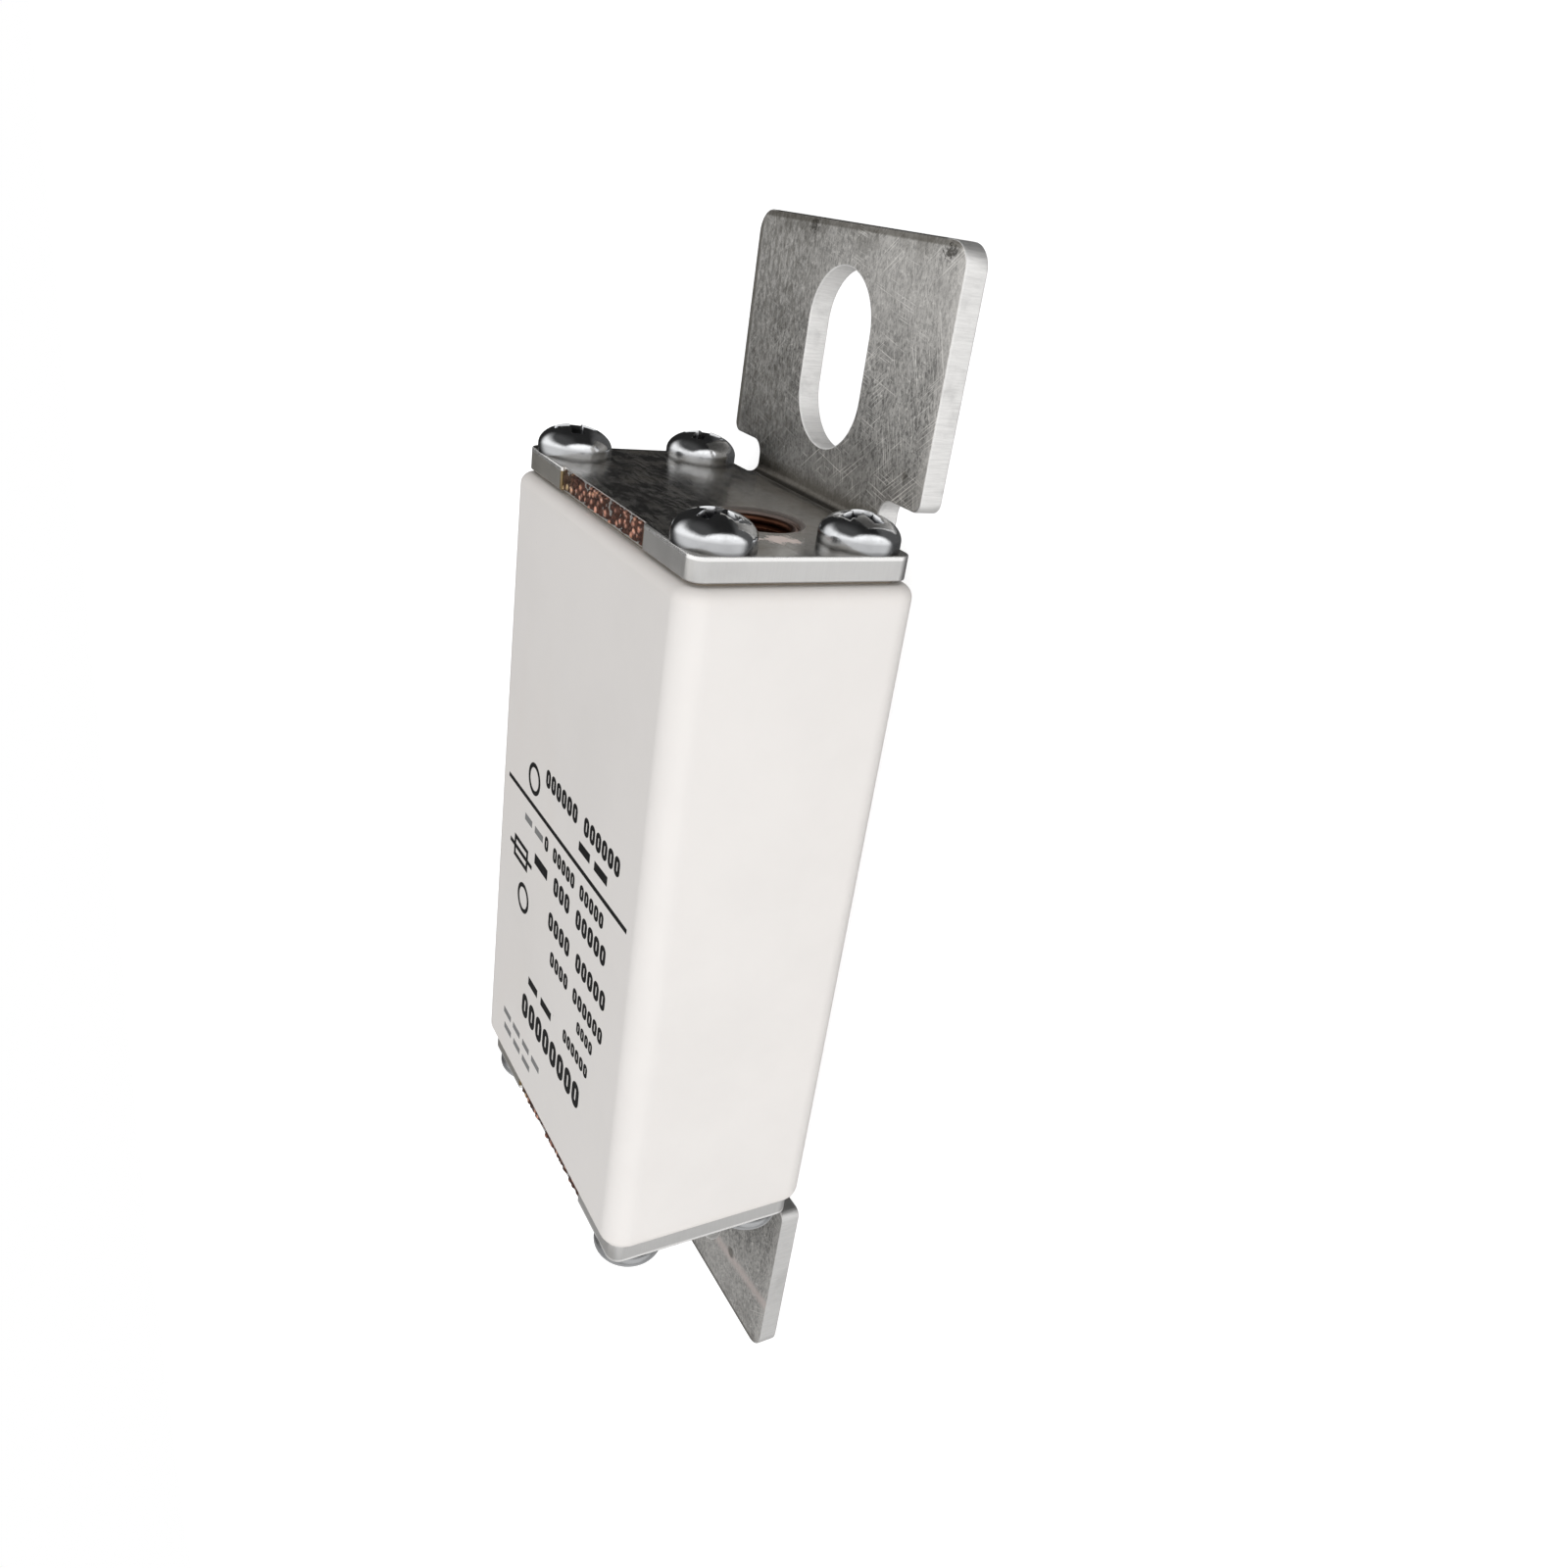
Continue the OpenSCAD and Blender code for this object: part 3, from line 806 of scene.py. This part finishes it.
def new_tree(name, sockets):
    """The graph of a Geometry Nodes tree and its inputs by name, given the names for each kind"""
    tree = bpy.data.node_groups.new(name, "GeometryNodeTree")
    for way in ("INPUT", "OUTPUT"):
        tree.interface.new_socket("Geometry", in_out=way, socket_type="NodeSocketGeometry")
    for kind, labels in sockets.items():
        for label in labels:
            tree.interface.new_socket(label, in_out="INPUT", socket_type=f"NodeSocket{kind}")
    graph = Graph(tree)
    source = tree.nodes.new("NodeGroupInput")
    return graph, {label: Wire(graph, source.outputs[label]) for label in sum(sockets.values(), [])}


def end_tree(graph, geometry, material):
    """Realizes the instances, sets the material and joins the result to the output"""
    real = graph.node("GeometryNodeRealizeInstances", {"Geometry": geometry})
    painted = graph.node("GeometryNodeSetMaterial", {"Geometry": real, "Material": material})
    target = graph.tree.nodes.new("NodeGroupOutput")
    graph.feed(target.inputs["Geometry"], painted)
    return graph.tree


def grown(name, tree, values):
    """Makes a plain mesh piece from a Geometry Nodes tree and the values of its named inputs"""
    piece = new_object(name, bpy.data.meshes.new(name))
    modifier = piece.modifiers.new("Made by nodes", "NODES")
    modifier.node_group = tree
    for socket in tree.interface.items_tree:
        if socket.item_type == "SOCKET" and socket.name in values:
            modifier[socket.identifier] = values[socket.name]
    made_plain(piece)
    if not piece.data.polygons:
        raise RuntimeError(f"{name} has no faces")
    give(piece, values["Finish"])
    piece.data.polygons.foreach_set("material_index", [0] * len(piece.data.polygons))
    return piece


def points_from(graph, place, count, shift):
    """Points that are shifted from a place"""
    spot = graph.node("ShaderNodeVectorMath", {0: shift, 1: place}, operation="ADD")
    return graph.node("GeometryNodePoints", {"Count": count, "Position": spot})


def copies(graph, points, piece, **placing):
    """A copy of the piece on each point"""
    return graph.node("GeometryNodeInstanceOnPoints", {"Points": points, "Instance": piece, **placing})


def screw_tree():
    """Four screws round an end plate, each turned by its own angle"""
    sockets = {
        "Object": ["Screw"],
        "Float": ["Across", "Up", "Facing", *TURNS],
        "Vector": ["Seat"],
        "Material": ["Finish"],
    }
    graph, given = new_tree("Four screws", sockets)
    index = graph.node("GeometryNodeInputIndex")
    half = index / 2
    column, row = index % 2 - 0.5, half.math("FLOOR", half) - 0.5
    shift = graph.combine(0.0, column * given["Across"], row * given["Up"])
    points = points_from(graph, given["Seat"], len(TURNS), shift)
    switch = graph.tree.nodes.new("GeometryNodeIndexSwitch")
    switch.data_type = "FLOAT"
    while len(switch.index_switch_items) < len(TURNS):
        switch.index_switch_items.new()
    graph.feed(switch.inputs["Index"], index)
    for number, label in enumerate(TURNS):
        graph.feed(switch.inputs[str(number)], given[label])
    turn = graph.combine(Wire(graph, switch.outputs[0]), 0.0, given["Facing"])
    screw = graph.node("GeometryNodeObjectInfo", {"Object": given["Screw"]}, "Geometry")
    return end_tree(graph, copies(graph, points, screw, Rotation=turn), given["Finish"])


def fineness(size):
    """How many lumps go into a metre, for a size that a tree is given and that may not be zero"""
    return 1 / (size | 0.01 * MM)


def grain_tree():
    """A patch of torn metal: rounded lumps that sink below the recess's floor at its edges"""
    sockets = {
        "Float": ["Length", "Width", "Grain", "Relief", "Seed"],
        "Vector": ["Place"],
        "Material": ["Finish"],
    }
    graph, given = new_tree("Torn copper", sockets)
    grid = {"Size X": given["Width"], "Size Y": given["Length"]}
    grid["Vertices X"], grid["Vertices Y"] = BREAK_GRID
    patch = graph.node("GeometryNodeMeshGrid", grid, "Mesh")
    spot = graph.node("GeometryNodeInputPosition")
    x, y, _ = graph.split(spot)
    lumps = graph.node(
        "ShaderNodeTexVoronoi",
        {"Vector": spot, "W": given["Seed"], "Scale": fineness(given["Grain"]), "Randomness": 0.8},
        "Distance",
        voronoi_dimensions="4D",
    )
    rough = graph.node(
        "ShaderNodeTexNoise",
        {"Vector": spot, "W": given["Seed"], "Scale": fineness(given["Grain"] * 0.4), "Detail": 2.0},
        noise_dimensions="4D",
    )
    swell = 0.75 - lumps * lumps * 1.5 + rough * 0.35
    in_x = graph.step(given["Width"] / 2 - abs(x), 0.0, 0.22 * MM)
    in_y = graph.step(given["Length"] / 2 - abs(y), 0.0, 0.3 * MM)
    height = (swell + 0.45) * (in_x * in_y) * given["Relief"] - 0.45 * given["Relief"]
    lift = graph.combine(0.0, 0.0, height)
    moved = graph.node("GeometryNodeSetPosition", {"Geometry": patch, "Offset": lift})
    stored = graph.node(
        "GeometryNodeStoreNamedAttribute",
        {"Geometry": moved, "Name": "crevice", "Value": lumps},
        data_type="FLOAT",
        domain="POINT",
    )
    soft = graph.node("GeometryNodeSetShadeSmooth", {"Geometry": stored})
    placed = graph.node("GeometryNodeTransform", {"Geometry": soft, "Translation": given["Place"]})
    return end_tree(graph, placed, given["Finish"])


def row_points(graph, given):
    """The places of one printed row's figures, with a gap after each group"""
    index = graph.node("GeometryNodeInputIndex")
    shift = graph.combine(0.0, index * given["Pitch"], 0.0)
    points = points_from(graph, given["Place"], given["Figures"], shift)
    group = given["Group"] + 1
    gap = {"A": index % group, "B": group - 1.5}
    gap = graph.node("FunctionNodeCompare", gap, operation="GREATER_THAN")
    return graph.node("GeometryNodeDeleteGeometry", {"Geometry": points, "Selection": gap})


def oval_outline(graph, height, width):
    outline = graph.node("GeometryNodeCurvePrimitiveQuadrilateral", {"Width": height, "Height": width})
    corners = {"Curve": outline, "Count": 6, "Radius": width * 0.48}
    return graph.node("GeometryNodeFilletCurve", corners, mode="POLY")


def zero_tree():
    """A printed row of plain zeros, each a thin oval ring"""
    graph, given = new_tree("Printed zeros", ROW_SOCKETS)
    stroke = given["Stroke"] * 2
    join = graph.tree.nodes.new("GeometryNodeJoinGeometry")
    graph.feed(join.inputs[0], oval_outline(graph, given["Height"], given["Width"]))
    graph.feed(join.inputs[0], oval_outline(graph, given["Height"] - stroke, given["Width"] - stroke))
    ring = graph.node("GeometryNodeFillCurve", {"Curve": Wire(graph, join.outputs[0])}, mode="NGONS")
    thick = graph.node("GeometryNodeExtrudeMesh", {"Mesh": ring, "Offset Scale": given["Depth"]}, "Mesh")
    return end_tree(graph, copies(graph, row_points(graph, given), thick), given["Finish"])


def bar_tree():
    """A printed row of plain bars of several lengths"""
    graph, given = new_tree("Printed bars", ROW_SOCKETS)
    size = graph.combine(given["Height"], given["Width"], given["Depth"])
    bar = graph.node("GeometryNodeMeshCube", {"Size": size}, "Mesh")
    share = {"Min": 0.5, "Max": 1.0, "Seed": given["Seed"]}
    share = graph.node("FunctionNodeRandomValue", share, "Value", data_type="FLOAT")
    bars = copies(graph, row_points(graph, given), bar, Scale=graph.combine(1.0, share, 1.0))
    return end_tree(graph, bars, given["Finish"])


def add_block(work, low, high):
    """Adds a box between two corners to a bmesh"""
    box = bmesh.ops.create_cube(work, size=1)
    bmesh.ops.scale(work, vec=high - low, verts=box["verts"])
    bmesh.ops.translate(work, vec=(high + low) / 2, verts=box["verts"])


def add_ring(work, centre, radius, stroke, depth, count=48):
    """Adds a flat printed ring to a bmesh"""
    loops = []
    for reach, up in ((radius - stroke, 0), (radius - stroke, depth), (radius, depth), (radius, 0)):
        turns = [math.tau * i / count for i in range(count)]
        spots = [Vector((math.cos(turn) * reach, math.sin(turn) * reach, up)) for turn in turns]
        loops.append([work.verts.new(centre + spot) for spot in spots])
    for first, second in zip(loops, loops[1:] + loops[:1]):
        for i in range(count):
            j = (i + 1) % count
            work.faces.new((second[i], second[j], first[j], first[i]))


def fuse_symbol(work, centre, length, width, stroke, depth):
    """Adds the plain circuit symbol of a fuse: a rectangle with a line through it"""
    half_l, half_w, half_s = length / 2, width / 2, stroke / 2

    def bar(low_x, low_y, high_x, high_y):
        add_block(work, centre + Vector((low_x, low_y, 0)), centre + Vector((high_x, high_y, depth)))

    for side in (-1, 1):
        x, y = side * (half_w - half_s), side * (half_l - half_s)
        lead = sorted((side * half_l, side * half_l * 1.6))
        bar(x - half_s, -half_l, x + half_s, half_l)
        bar(stroke - half_w, y - half_s, half_w - stroke, y + half_s)
        bar(-half_s, lead[0], half_s, lead[1])
    bar(-half_s, stroke - half_l, half_s, half_l - stroke)


class FUSE_OT_ceramic(Operator):
    """Makes the square ceramic body"""

    bl_idname = "fuse.make_ceramic"
    bl_label = "Ceramic body"

    def execute(self, context):
        piece = smooth(solid_copy("ceramic_body", "ceramic_shell"), 40)
        give(piece, ceramic_finish(context.scene.fuse_colours))
        dress(piece, "ceramic", "ceramic_body")
        return {"FINISHED"}


class FUSE_OT_terminals(Operator):
    """Makes the two bent terminals from stamped sheet"""

    bl_idname = "fuse.make_terminals"
    bl_label = "Terminals"

    def execute(self, context):
        colours = context.scene.fuse_colours
        edges = context.scene.fuse_edges
        finishes = {
            ROLLED: tin_finish(colours),
            STAMPED: sheared_finish(colours),
            GLOSSY: end_plate_finish(colours),
        }
        recess_z = PLATE_HIGH.z - context.scene.fuse_break.depth
        for end in ENDS:
            piece = solid_copy(f"{end}_terminal", f"{end}_bent_terminal")
            round_edges(piece, edges.slot, 2, 32, self.in_slot)
            round_edges(piece, edges.sheet, 4, 32, lambda spot: self.on_outline(spot, recess_z))
            smooth(piece)
            give(piece, *finishes.values())
            sort_terminal_faces(piece)
            dress(piece, "tin_plate", f"{end}_terminal")
        return {"FINISHED"}

    def in_slot(self, spot):
        return abs(abs(spot.x) - SLOT_X) < SLOT_REACH + 0.1 * MM and abs(spot.y) < SLOT_R + 0.2 * MM

    def on_outline(self, spot, recess_z):
        """True on the sheet's outline, away from its slot, its round holes and the torn edge"""
        in_plate = abs(spot.x) < PLATE_FACE + 0.1 * MM
        inside_y = abs(spot.y) < PLATE_HIGH.y - 0.6 * MM
        inside_z = spot.z < PLATE_HIGH.z - 0.6 * MM
        hole = in_plate and inside_y and inside_z and spot.z > 2 * BODY_LOW.z
        torn = in_plate and abs(spot.z - recess_z) < 0.2 * MM and abs(spot.y) < PLATE_HIGH.y / 2 + 0.3 * MM
        return not (hole or torn or self.in_slot(spot))


class FUSE_OT_screws(Operator):
    """Makes the four pan-head screws at each end"""

    bl_idname = "fuse.make_screws"
    bl_label = "Screws"

    def execute(self, context):
        crown = context.scene.fuse_edges.crown
        master = self.master()
        head = max(v.co.y for v in master.data.vertices) * 2
        across = SCREWS_HIGH.y - SCREWS_LOW.y - head
        up = SCREWS_HIGH.z - SCREWS_LOW.z - head
        self.dome(master, crown, head / 2)
        round_edges(master, context.scene.fuse_edges.screw, 2, 40)
        smooth(master, 60)
        tree = screw_tree()
        finish = zinc_finish(context.scene.fuse_colours, across / 2, up / 2, head / 2, crown)
        for end, side in ENDS.items():
            values = {
                "Screw": master,
                "Across": across,
                "Up": up,
                "Seat": (side * PLATE_FACE, 0, MIDDLE_Z),
                "Facing": 0.0 if side > 0 else math.pi,
                "Finish": finish,
            }
            for label, turn in zip(TURNS, SCREW_TURNS):
                values[label] = side * math.radians(turn)
            dress(grown(f"{end}_pan_head_screws", tree, values), "zinc_steel", f"{end}_screws")
        bpy.data.objects.remove(master)
        return {"FINISHED"}

    def dome(self, piece, height, radius):
        """Lowers the head's shoulder to an ellipse of this height, whose foot is the top of the skirt"""
        with edited(piece.data) as work:
            foot = max(v.co.x for v in work.verts) - height
            skirt = foot - 0.2 * MM
            for _ in range(3):
                bmesh.ops.triangulate(work, faces=[f for f in work.faces if f.calc_center_median().x > foot])
                long = [
                    e
                    for e in work.edges
                    if e.calc_length() > 0.25 * MM
                    and min(v.co.x for v in e.verts) > skirt
                    and min(v.co.yz.length for v in e.verts) > 0.7 * radius
                ]
                bmesh.ops.subdivide_edges(work, edges=long, cuts=1)
            work.normal_update()
            skin = {
                v
                for f in work.faces
                if f.normal.x > 0.02 and f.normal.yz.dot(f.calc_center_median().yz) > -0.01 * MM
                for v in f.verts
                if v.co.x > skirt
            }
            for v in skin:
                reach = min(1.0, v.co.yz.length / radius)
                v.co.x = min(v.co.x, foot + height * math.sqrt(1 - reach * reach))

    def master(self):
        """One screw of the CAD's group, moved so that its head stands on the origin and turned back"""
        piece = solid_copy("right_screws", "screw_master")
        with edited(piece.data) as work:
            away = [v for v in work.verts if v.co.y > 0 or v.co.z > MIDDLE_Z]
            bmesh.ops.delete(work, geom=away, context="VERTS")
            spans = [[v.co[axis] for v in work.verts] for axis in (1, 2)]
            middle_y, middle_z = ((min(span) + max(span)) / 2 for span in spans)
            home = Matrix.Rotation(math.radians(-SCREW_TURNS[0]), 4, "X")
            home @= Matrix.Translation((-PLATE_FACE, -middle_y, -middle_z))
            bmesh.ops.transform(work, matrix=home, verts=work.verts)
        return piece


class FUSE_OT_plugs(Operator):
    """Makes the cup-shaped plugs of the filling holes"""

    bl_idname = "fuse.make_plugs"
    bl_label = "Filling-hole plugs"

    def execute(self, context):
        finish = plug_finish(context.scene.fuse_colours)
        for end in ENDS:
            piece = solid_copy(f"{end}_filler_plug", f"{end}_plug_cup")
            round_edges(piece, context.scene.fuse_edges.plug, 2, 25)
            smooth(piece)
            give(piece, finish)
            dress(piece, "bare_copper", f"{end}_filler_plug")
        return {"FINISHED"}


class FUSE_OT_break(Operator):
    """Makes the torn copper edges of the end plates"""

    bl_idname = "fuse.make_break"
    bl_label = "Torn copper edges"

    def execute(self, context):
        torn = context.scene.fuse_break
        tree = grain_tree()
        finish = broken_finish(context.scene.fuse_colours)
        for end, side in ENDS.items():
            values = {
                "Length": torn.length,
                "Width": SHEET,
                "Grain": torn.grain,
                "Relief": torn.relief,
                "Seed": torn.seed + side,
                "Place": (side * (PLATE_FACE - SHEET / 2), 0, PLATE_HIGH.z - torn.depth),
                "Finish": finish,
            }
            dress(grown(f"{end}_torn_copper", tree, values), "bare_copper")
        return {"FINISHED"}


class FUSE_OT_print(Operator):
    """Makes the plain print on the wide face"""

    bl_idname = "fuse.make_print"
    bl_label = "Plain print"

    def execute(self, context):
        colour = context.scene.fuse_colours.ink
        ink, faint = ink_finish("print_ink", colour, 0.0), ink_finish("faint_ink", colour, 0.3)
        zeros, bars = zero_tree(), bar_tree()
        for kind, rows, tree, finish, shares in (
            ("zeros", ZERO_ROWS, zeros, ink, ZERO_SHARES),
            ("bars", BAR_ROWS, bars, ink, BAR_SHARES),
            ("faint", FAINT_ROWS, bars, faint, BAR_SHARES),
        ):
            for number, row in enumerate(rows):
                values = self.row_values(context.scene.fuse_print, row, *shares)
                values["Finish"] = finish
                dress(grown(f"print_{kind}_{number + 1}", tree, values), "ceramic")
        self.marks(context.scene.fuse_print, ink)
        return {"FINISHED"}

    def row_values(self, given, row, width, pitch):
        """The sizes of a row whose figures' width and pitch are shares of their height"""
        height = row.height * MM
        return {
            "Figures": row.glyphs,
            "Group": float(row.word),
            "Pitch": height * pitch,
            "Height": height,
            "Width": height * width,
            "Stroke": height * given.stroke,
            "Depth": given.depth,
            "Seed": given.seed,
            "Place": (row.x * MM, row.start * MM, BODY_HIGH.z),
        }

    def marks(self, given, finish):
        """The dividing line, a fuse symbol and two plain rings"""
        mesh = bpy.data.meshes.new("print_marks")
        top = BODY_HIGH.z
        line = Vector((given.divider_x, 0, top))
        corner = Vector((given.line / 2, given.divider / 2, 0))
        with edited(mesh) as work:
            add_block(work, line - corner, line + corner + Vector((0, 0, given.depth)))
            fuse_symbol(work, Vector((*SYMBOL, top)), *SYMBOL_SIZE, given.line, given.depth)
            for place in RINGS:
                add_ring(work, Vector((*place, top)), RING_R, given.line, given.depth)
            bmesh.ops.recalc_face_normals(work, faces=work.faces)
        piece = new_object("print_marks", mesh)
        give(piece, finish)
        dress(piece, "ceramic")


class FUSE_OT_inside(Operator):
    """Gives the gaskets, contacts, strips and sand their finishes"""

    bl_idname = "fuse.finish_inside"
    bl_label = "Inner pieces"

    def execute(self, context):
        colours = context.scene.fuse_colours
        finishes = {
            "gasket": fibre_finish(colours),
            "contact": contact_finish(colours),
            "fuse_element": silver_finish(colours),
            "sand": sand_finish(colours),
        }
        for name, node in frame["nodes"].items():
            for part, finish in finishes.items():
                if part in name:
                    give(node, finish)
        return {"FINISHED"}


class FUSE_OT_stage(Operator):
    """Sets the floor, the light and the camera"""

    bl_idname = "fuse.set_stage"
    bl_label = "Stage"

    def execute(self, context):
        given = context.scene.fuse_stage
        self.floor(given)
        for name, (place, size) in LAMPS.items():
            self.light(f"{name}_light", place, size, getattr(given, name))
        self.world(given)
        self.camera(given)
        context.scene.view_settings.view_transform = "Standard"
        return {"FINISHED"}

    def floor(self, given):
        mesh = bpy.data.meshes.new("floor")
        with edited(mesh) as work:
            bmesh.ops.create_grid(work, x_segments=1, y_segments=1, size=given.floor / 2)
        floor = new_object("floor", mesh)
        paint = Paint("pale_floor")
        seen, glossy = self.rays(paint)
        grey = given.floor_grey
        paint.finish(Base_Color=(grey, grey, grey, 1), Roughness=1.0, Specular_IOR_Level=0.0)
        incoming = paint.node("ShaderNodeNewGeometry", output="Incoming")
        way = paint.node("ShaderNodeVectorMath", {0: incoming, "Scale": -1.0}, operation="SCALE")
        white = paint.node("ShaderNodeEmission", {"Color": (1, 1, 1, 1), "Strength": seen * given.glow})
        mirrored = paint.node("ShaderNodeEmission", {"Strength": self.studio(paint, way)})
        lit = paint.node("ShaderNodeAddShader", {0: Wire(paint, paint.shader.outputs[0]), 1: white})
        both = paint.node("ShaderNodeMixShader", {0: glossy, 1: lit, 2: mirrored})
        paint.feed(paint.tree.nodes["Material Output"].inputs["Surface"], both)
        give(floor, paint.material)

    def rays(self, graph):
        """1 where the camera looks, straight or through glass, and 1 where metal mirrors the place"""
        names = ("Is Camera Ray", "Is Glossy Ray", "Is Transmission Ray")
        camera, glossy, through = (graph.node("ShaderNodeLightPath", output=name) for name in names)
        return camera | through, glossy

    def studio(self, graph, way):
        """What metal mirrors: pale walls in front and low down, a soft sky above and a dark wall behind"""
        x, y, z = graph.split(way)
        wall = graph.step(x, -0.8, -0.1, 0.85, 1.0) + graph.step(x, 0.35, 0.7, 0, 0.35)
        front = graph.below(y, -0.60, -0.34) * wall
        sky = graph.step(z + 0.4 * x, 0.33, 0.78, 0.0, 1.1) * graph.step(x, 0.40, 0.75, 1, 0.05)
        left = graph.step(x, -0.75, -0.45, 0.45, 0.0)
        floor = graph.step(z, -0.62, -0.44, 0.08, 0.0)
        return 0.022 + floor + (front | sky | left)

    def light(self, name, place, size, power):
        lamp = bpy.data.lights.new(name, "AREA")
        lamp.shape = "SQUARE"
        lamp.size = size
        lamp.energy = power
        holder = new_object(name, lamp)
        holder.location = place
        holder.visible_glossy = False
        way = Vector((0, 0, MIDDLE_Z)) - Vector(place)
        holder.rotation_euler = way.to_track_quat("-Z", "Y").to_euler()

    def world(self, given):
        """White where it is seen, the studio where metal mirrors it, and an even light elsewhere"""
        world = bpy.data.worlds.new("studio")
        world.use_nodes = True
        bpy.context.scene.world = world
        graph = Graph(world.node_tree)
        background = world.node_tree.nodes["Background"]
        way = graph.node("ShaderNodeTexCoord", output="Generated")
        white, glossy = self.rays(graph)
        strength = white + (1 - white) * (glossy * self.studio(graph, way) + (1 - glossy) * given.ambient)
        graph.feed(background.inputs["Color"], (1, 1, 1, 1))
        graph.feed(background.inputs["Strength"], strength)

    def camera(self, given):
        """The photograph's camera, turned so that the fuse stands upright in the picture"""
        back = -Vector(given.look).normalized()
        right = Vector(given.upward).cross(back).normalized()
        lens = bpy.data.cameras.new("camera")
        lens.lens = given.lens
        lens.sensor_width = 36
        lens.clip_start = 1 * MM
        holder = new_object("camera", lens)
        turned = Matrix((right, back.cross(right), back)).transposed().to_4x4()
        holder.matrix_world = Matrix.Translation(given.camera) @ turned
        bpy.context.scene.camera = holder


MAKERS = (
    FUSE_OT_ceramic,
    FUSE_OT_terminals,
    FUSE_OT_screws,
    FUSE_OT_plugs,
    FUSE_OT_break,
    FUSE_OT_print,
    FUSE_OT_inside,
    FUSE_OT_stage,
)
SETTINGS = {
    "fuse_edges": FuseEdges,
    "fuse_colours": FuseColours,
    "fuse_break": FuseBreak,
    "fuse_print": FusePrint,
    "fuse_stage": FuseStage,
}


class FUSE_PT_sidebar(Panel):
    """Lists the fuse's operators and settings"""

    bl_idname = "FUSE_PT_sidebar"
    bl_label = "High-speed fuse link"
    bl_space_type = "VIEW_3D"
    bl_region_type = "UI"
    bl_category = "Fuse"

    def draw(self, context):
        for maker in MAKERS:
            self.layout.operator(maker.bl_idname)
        for name, group in SETTINGS.items():
            box = self.layout.box()
            for entry in group.__annotations__:
                box.prop(getattr(context.scene, name), entry)


CLASSES = (*SETTINGS.values(), *MAKERS, FUSE_PT_sidebar)


def register():
    for member in CLASSES:
        bpy.utils.register_class(member)
    for name, group in SETTINGS.items():
        setattr(bpy.types.Scene, name, PointerProperty(type=group))


def unregister():
    for name in SETTINGS:
        delattr(bpy.types.Scene, name)
    for member in reversed(CLASSES):
        bpy.utils.unregister_class(member)


def main():
    register()
    bpy.ops.fuse.make_ceramic()
    bpy.ops.fuse.make_terminals()
    bpy.ops.fuse.make_screws()
    bpy.ops.fuse.make_plugs()
    bpy.ops.fuse.make_break()
    bpy.ops.fuse.make_print()
    bpy.ops.fuse.finish_inside()
    bpy.ops.fuse.set_stage()


if __name__ == "__main__":
    main()
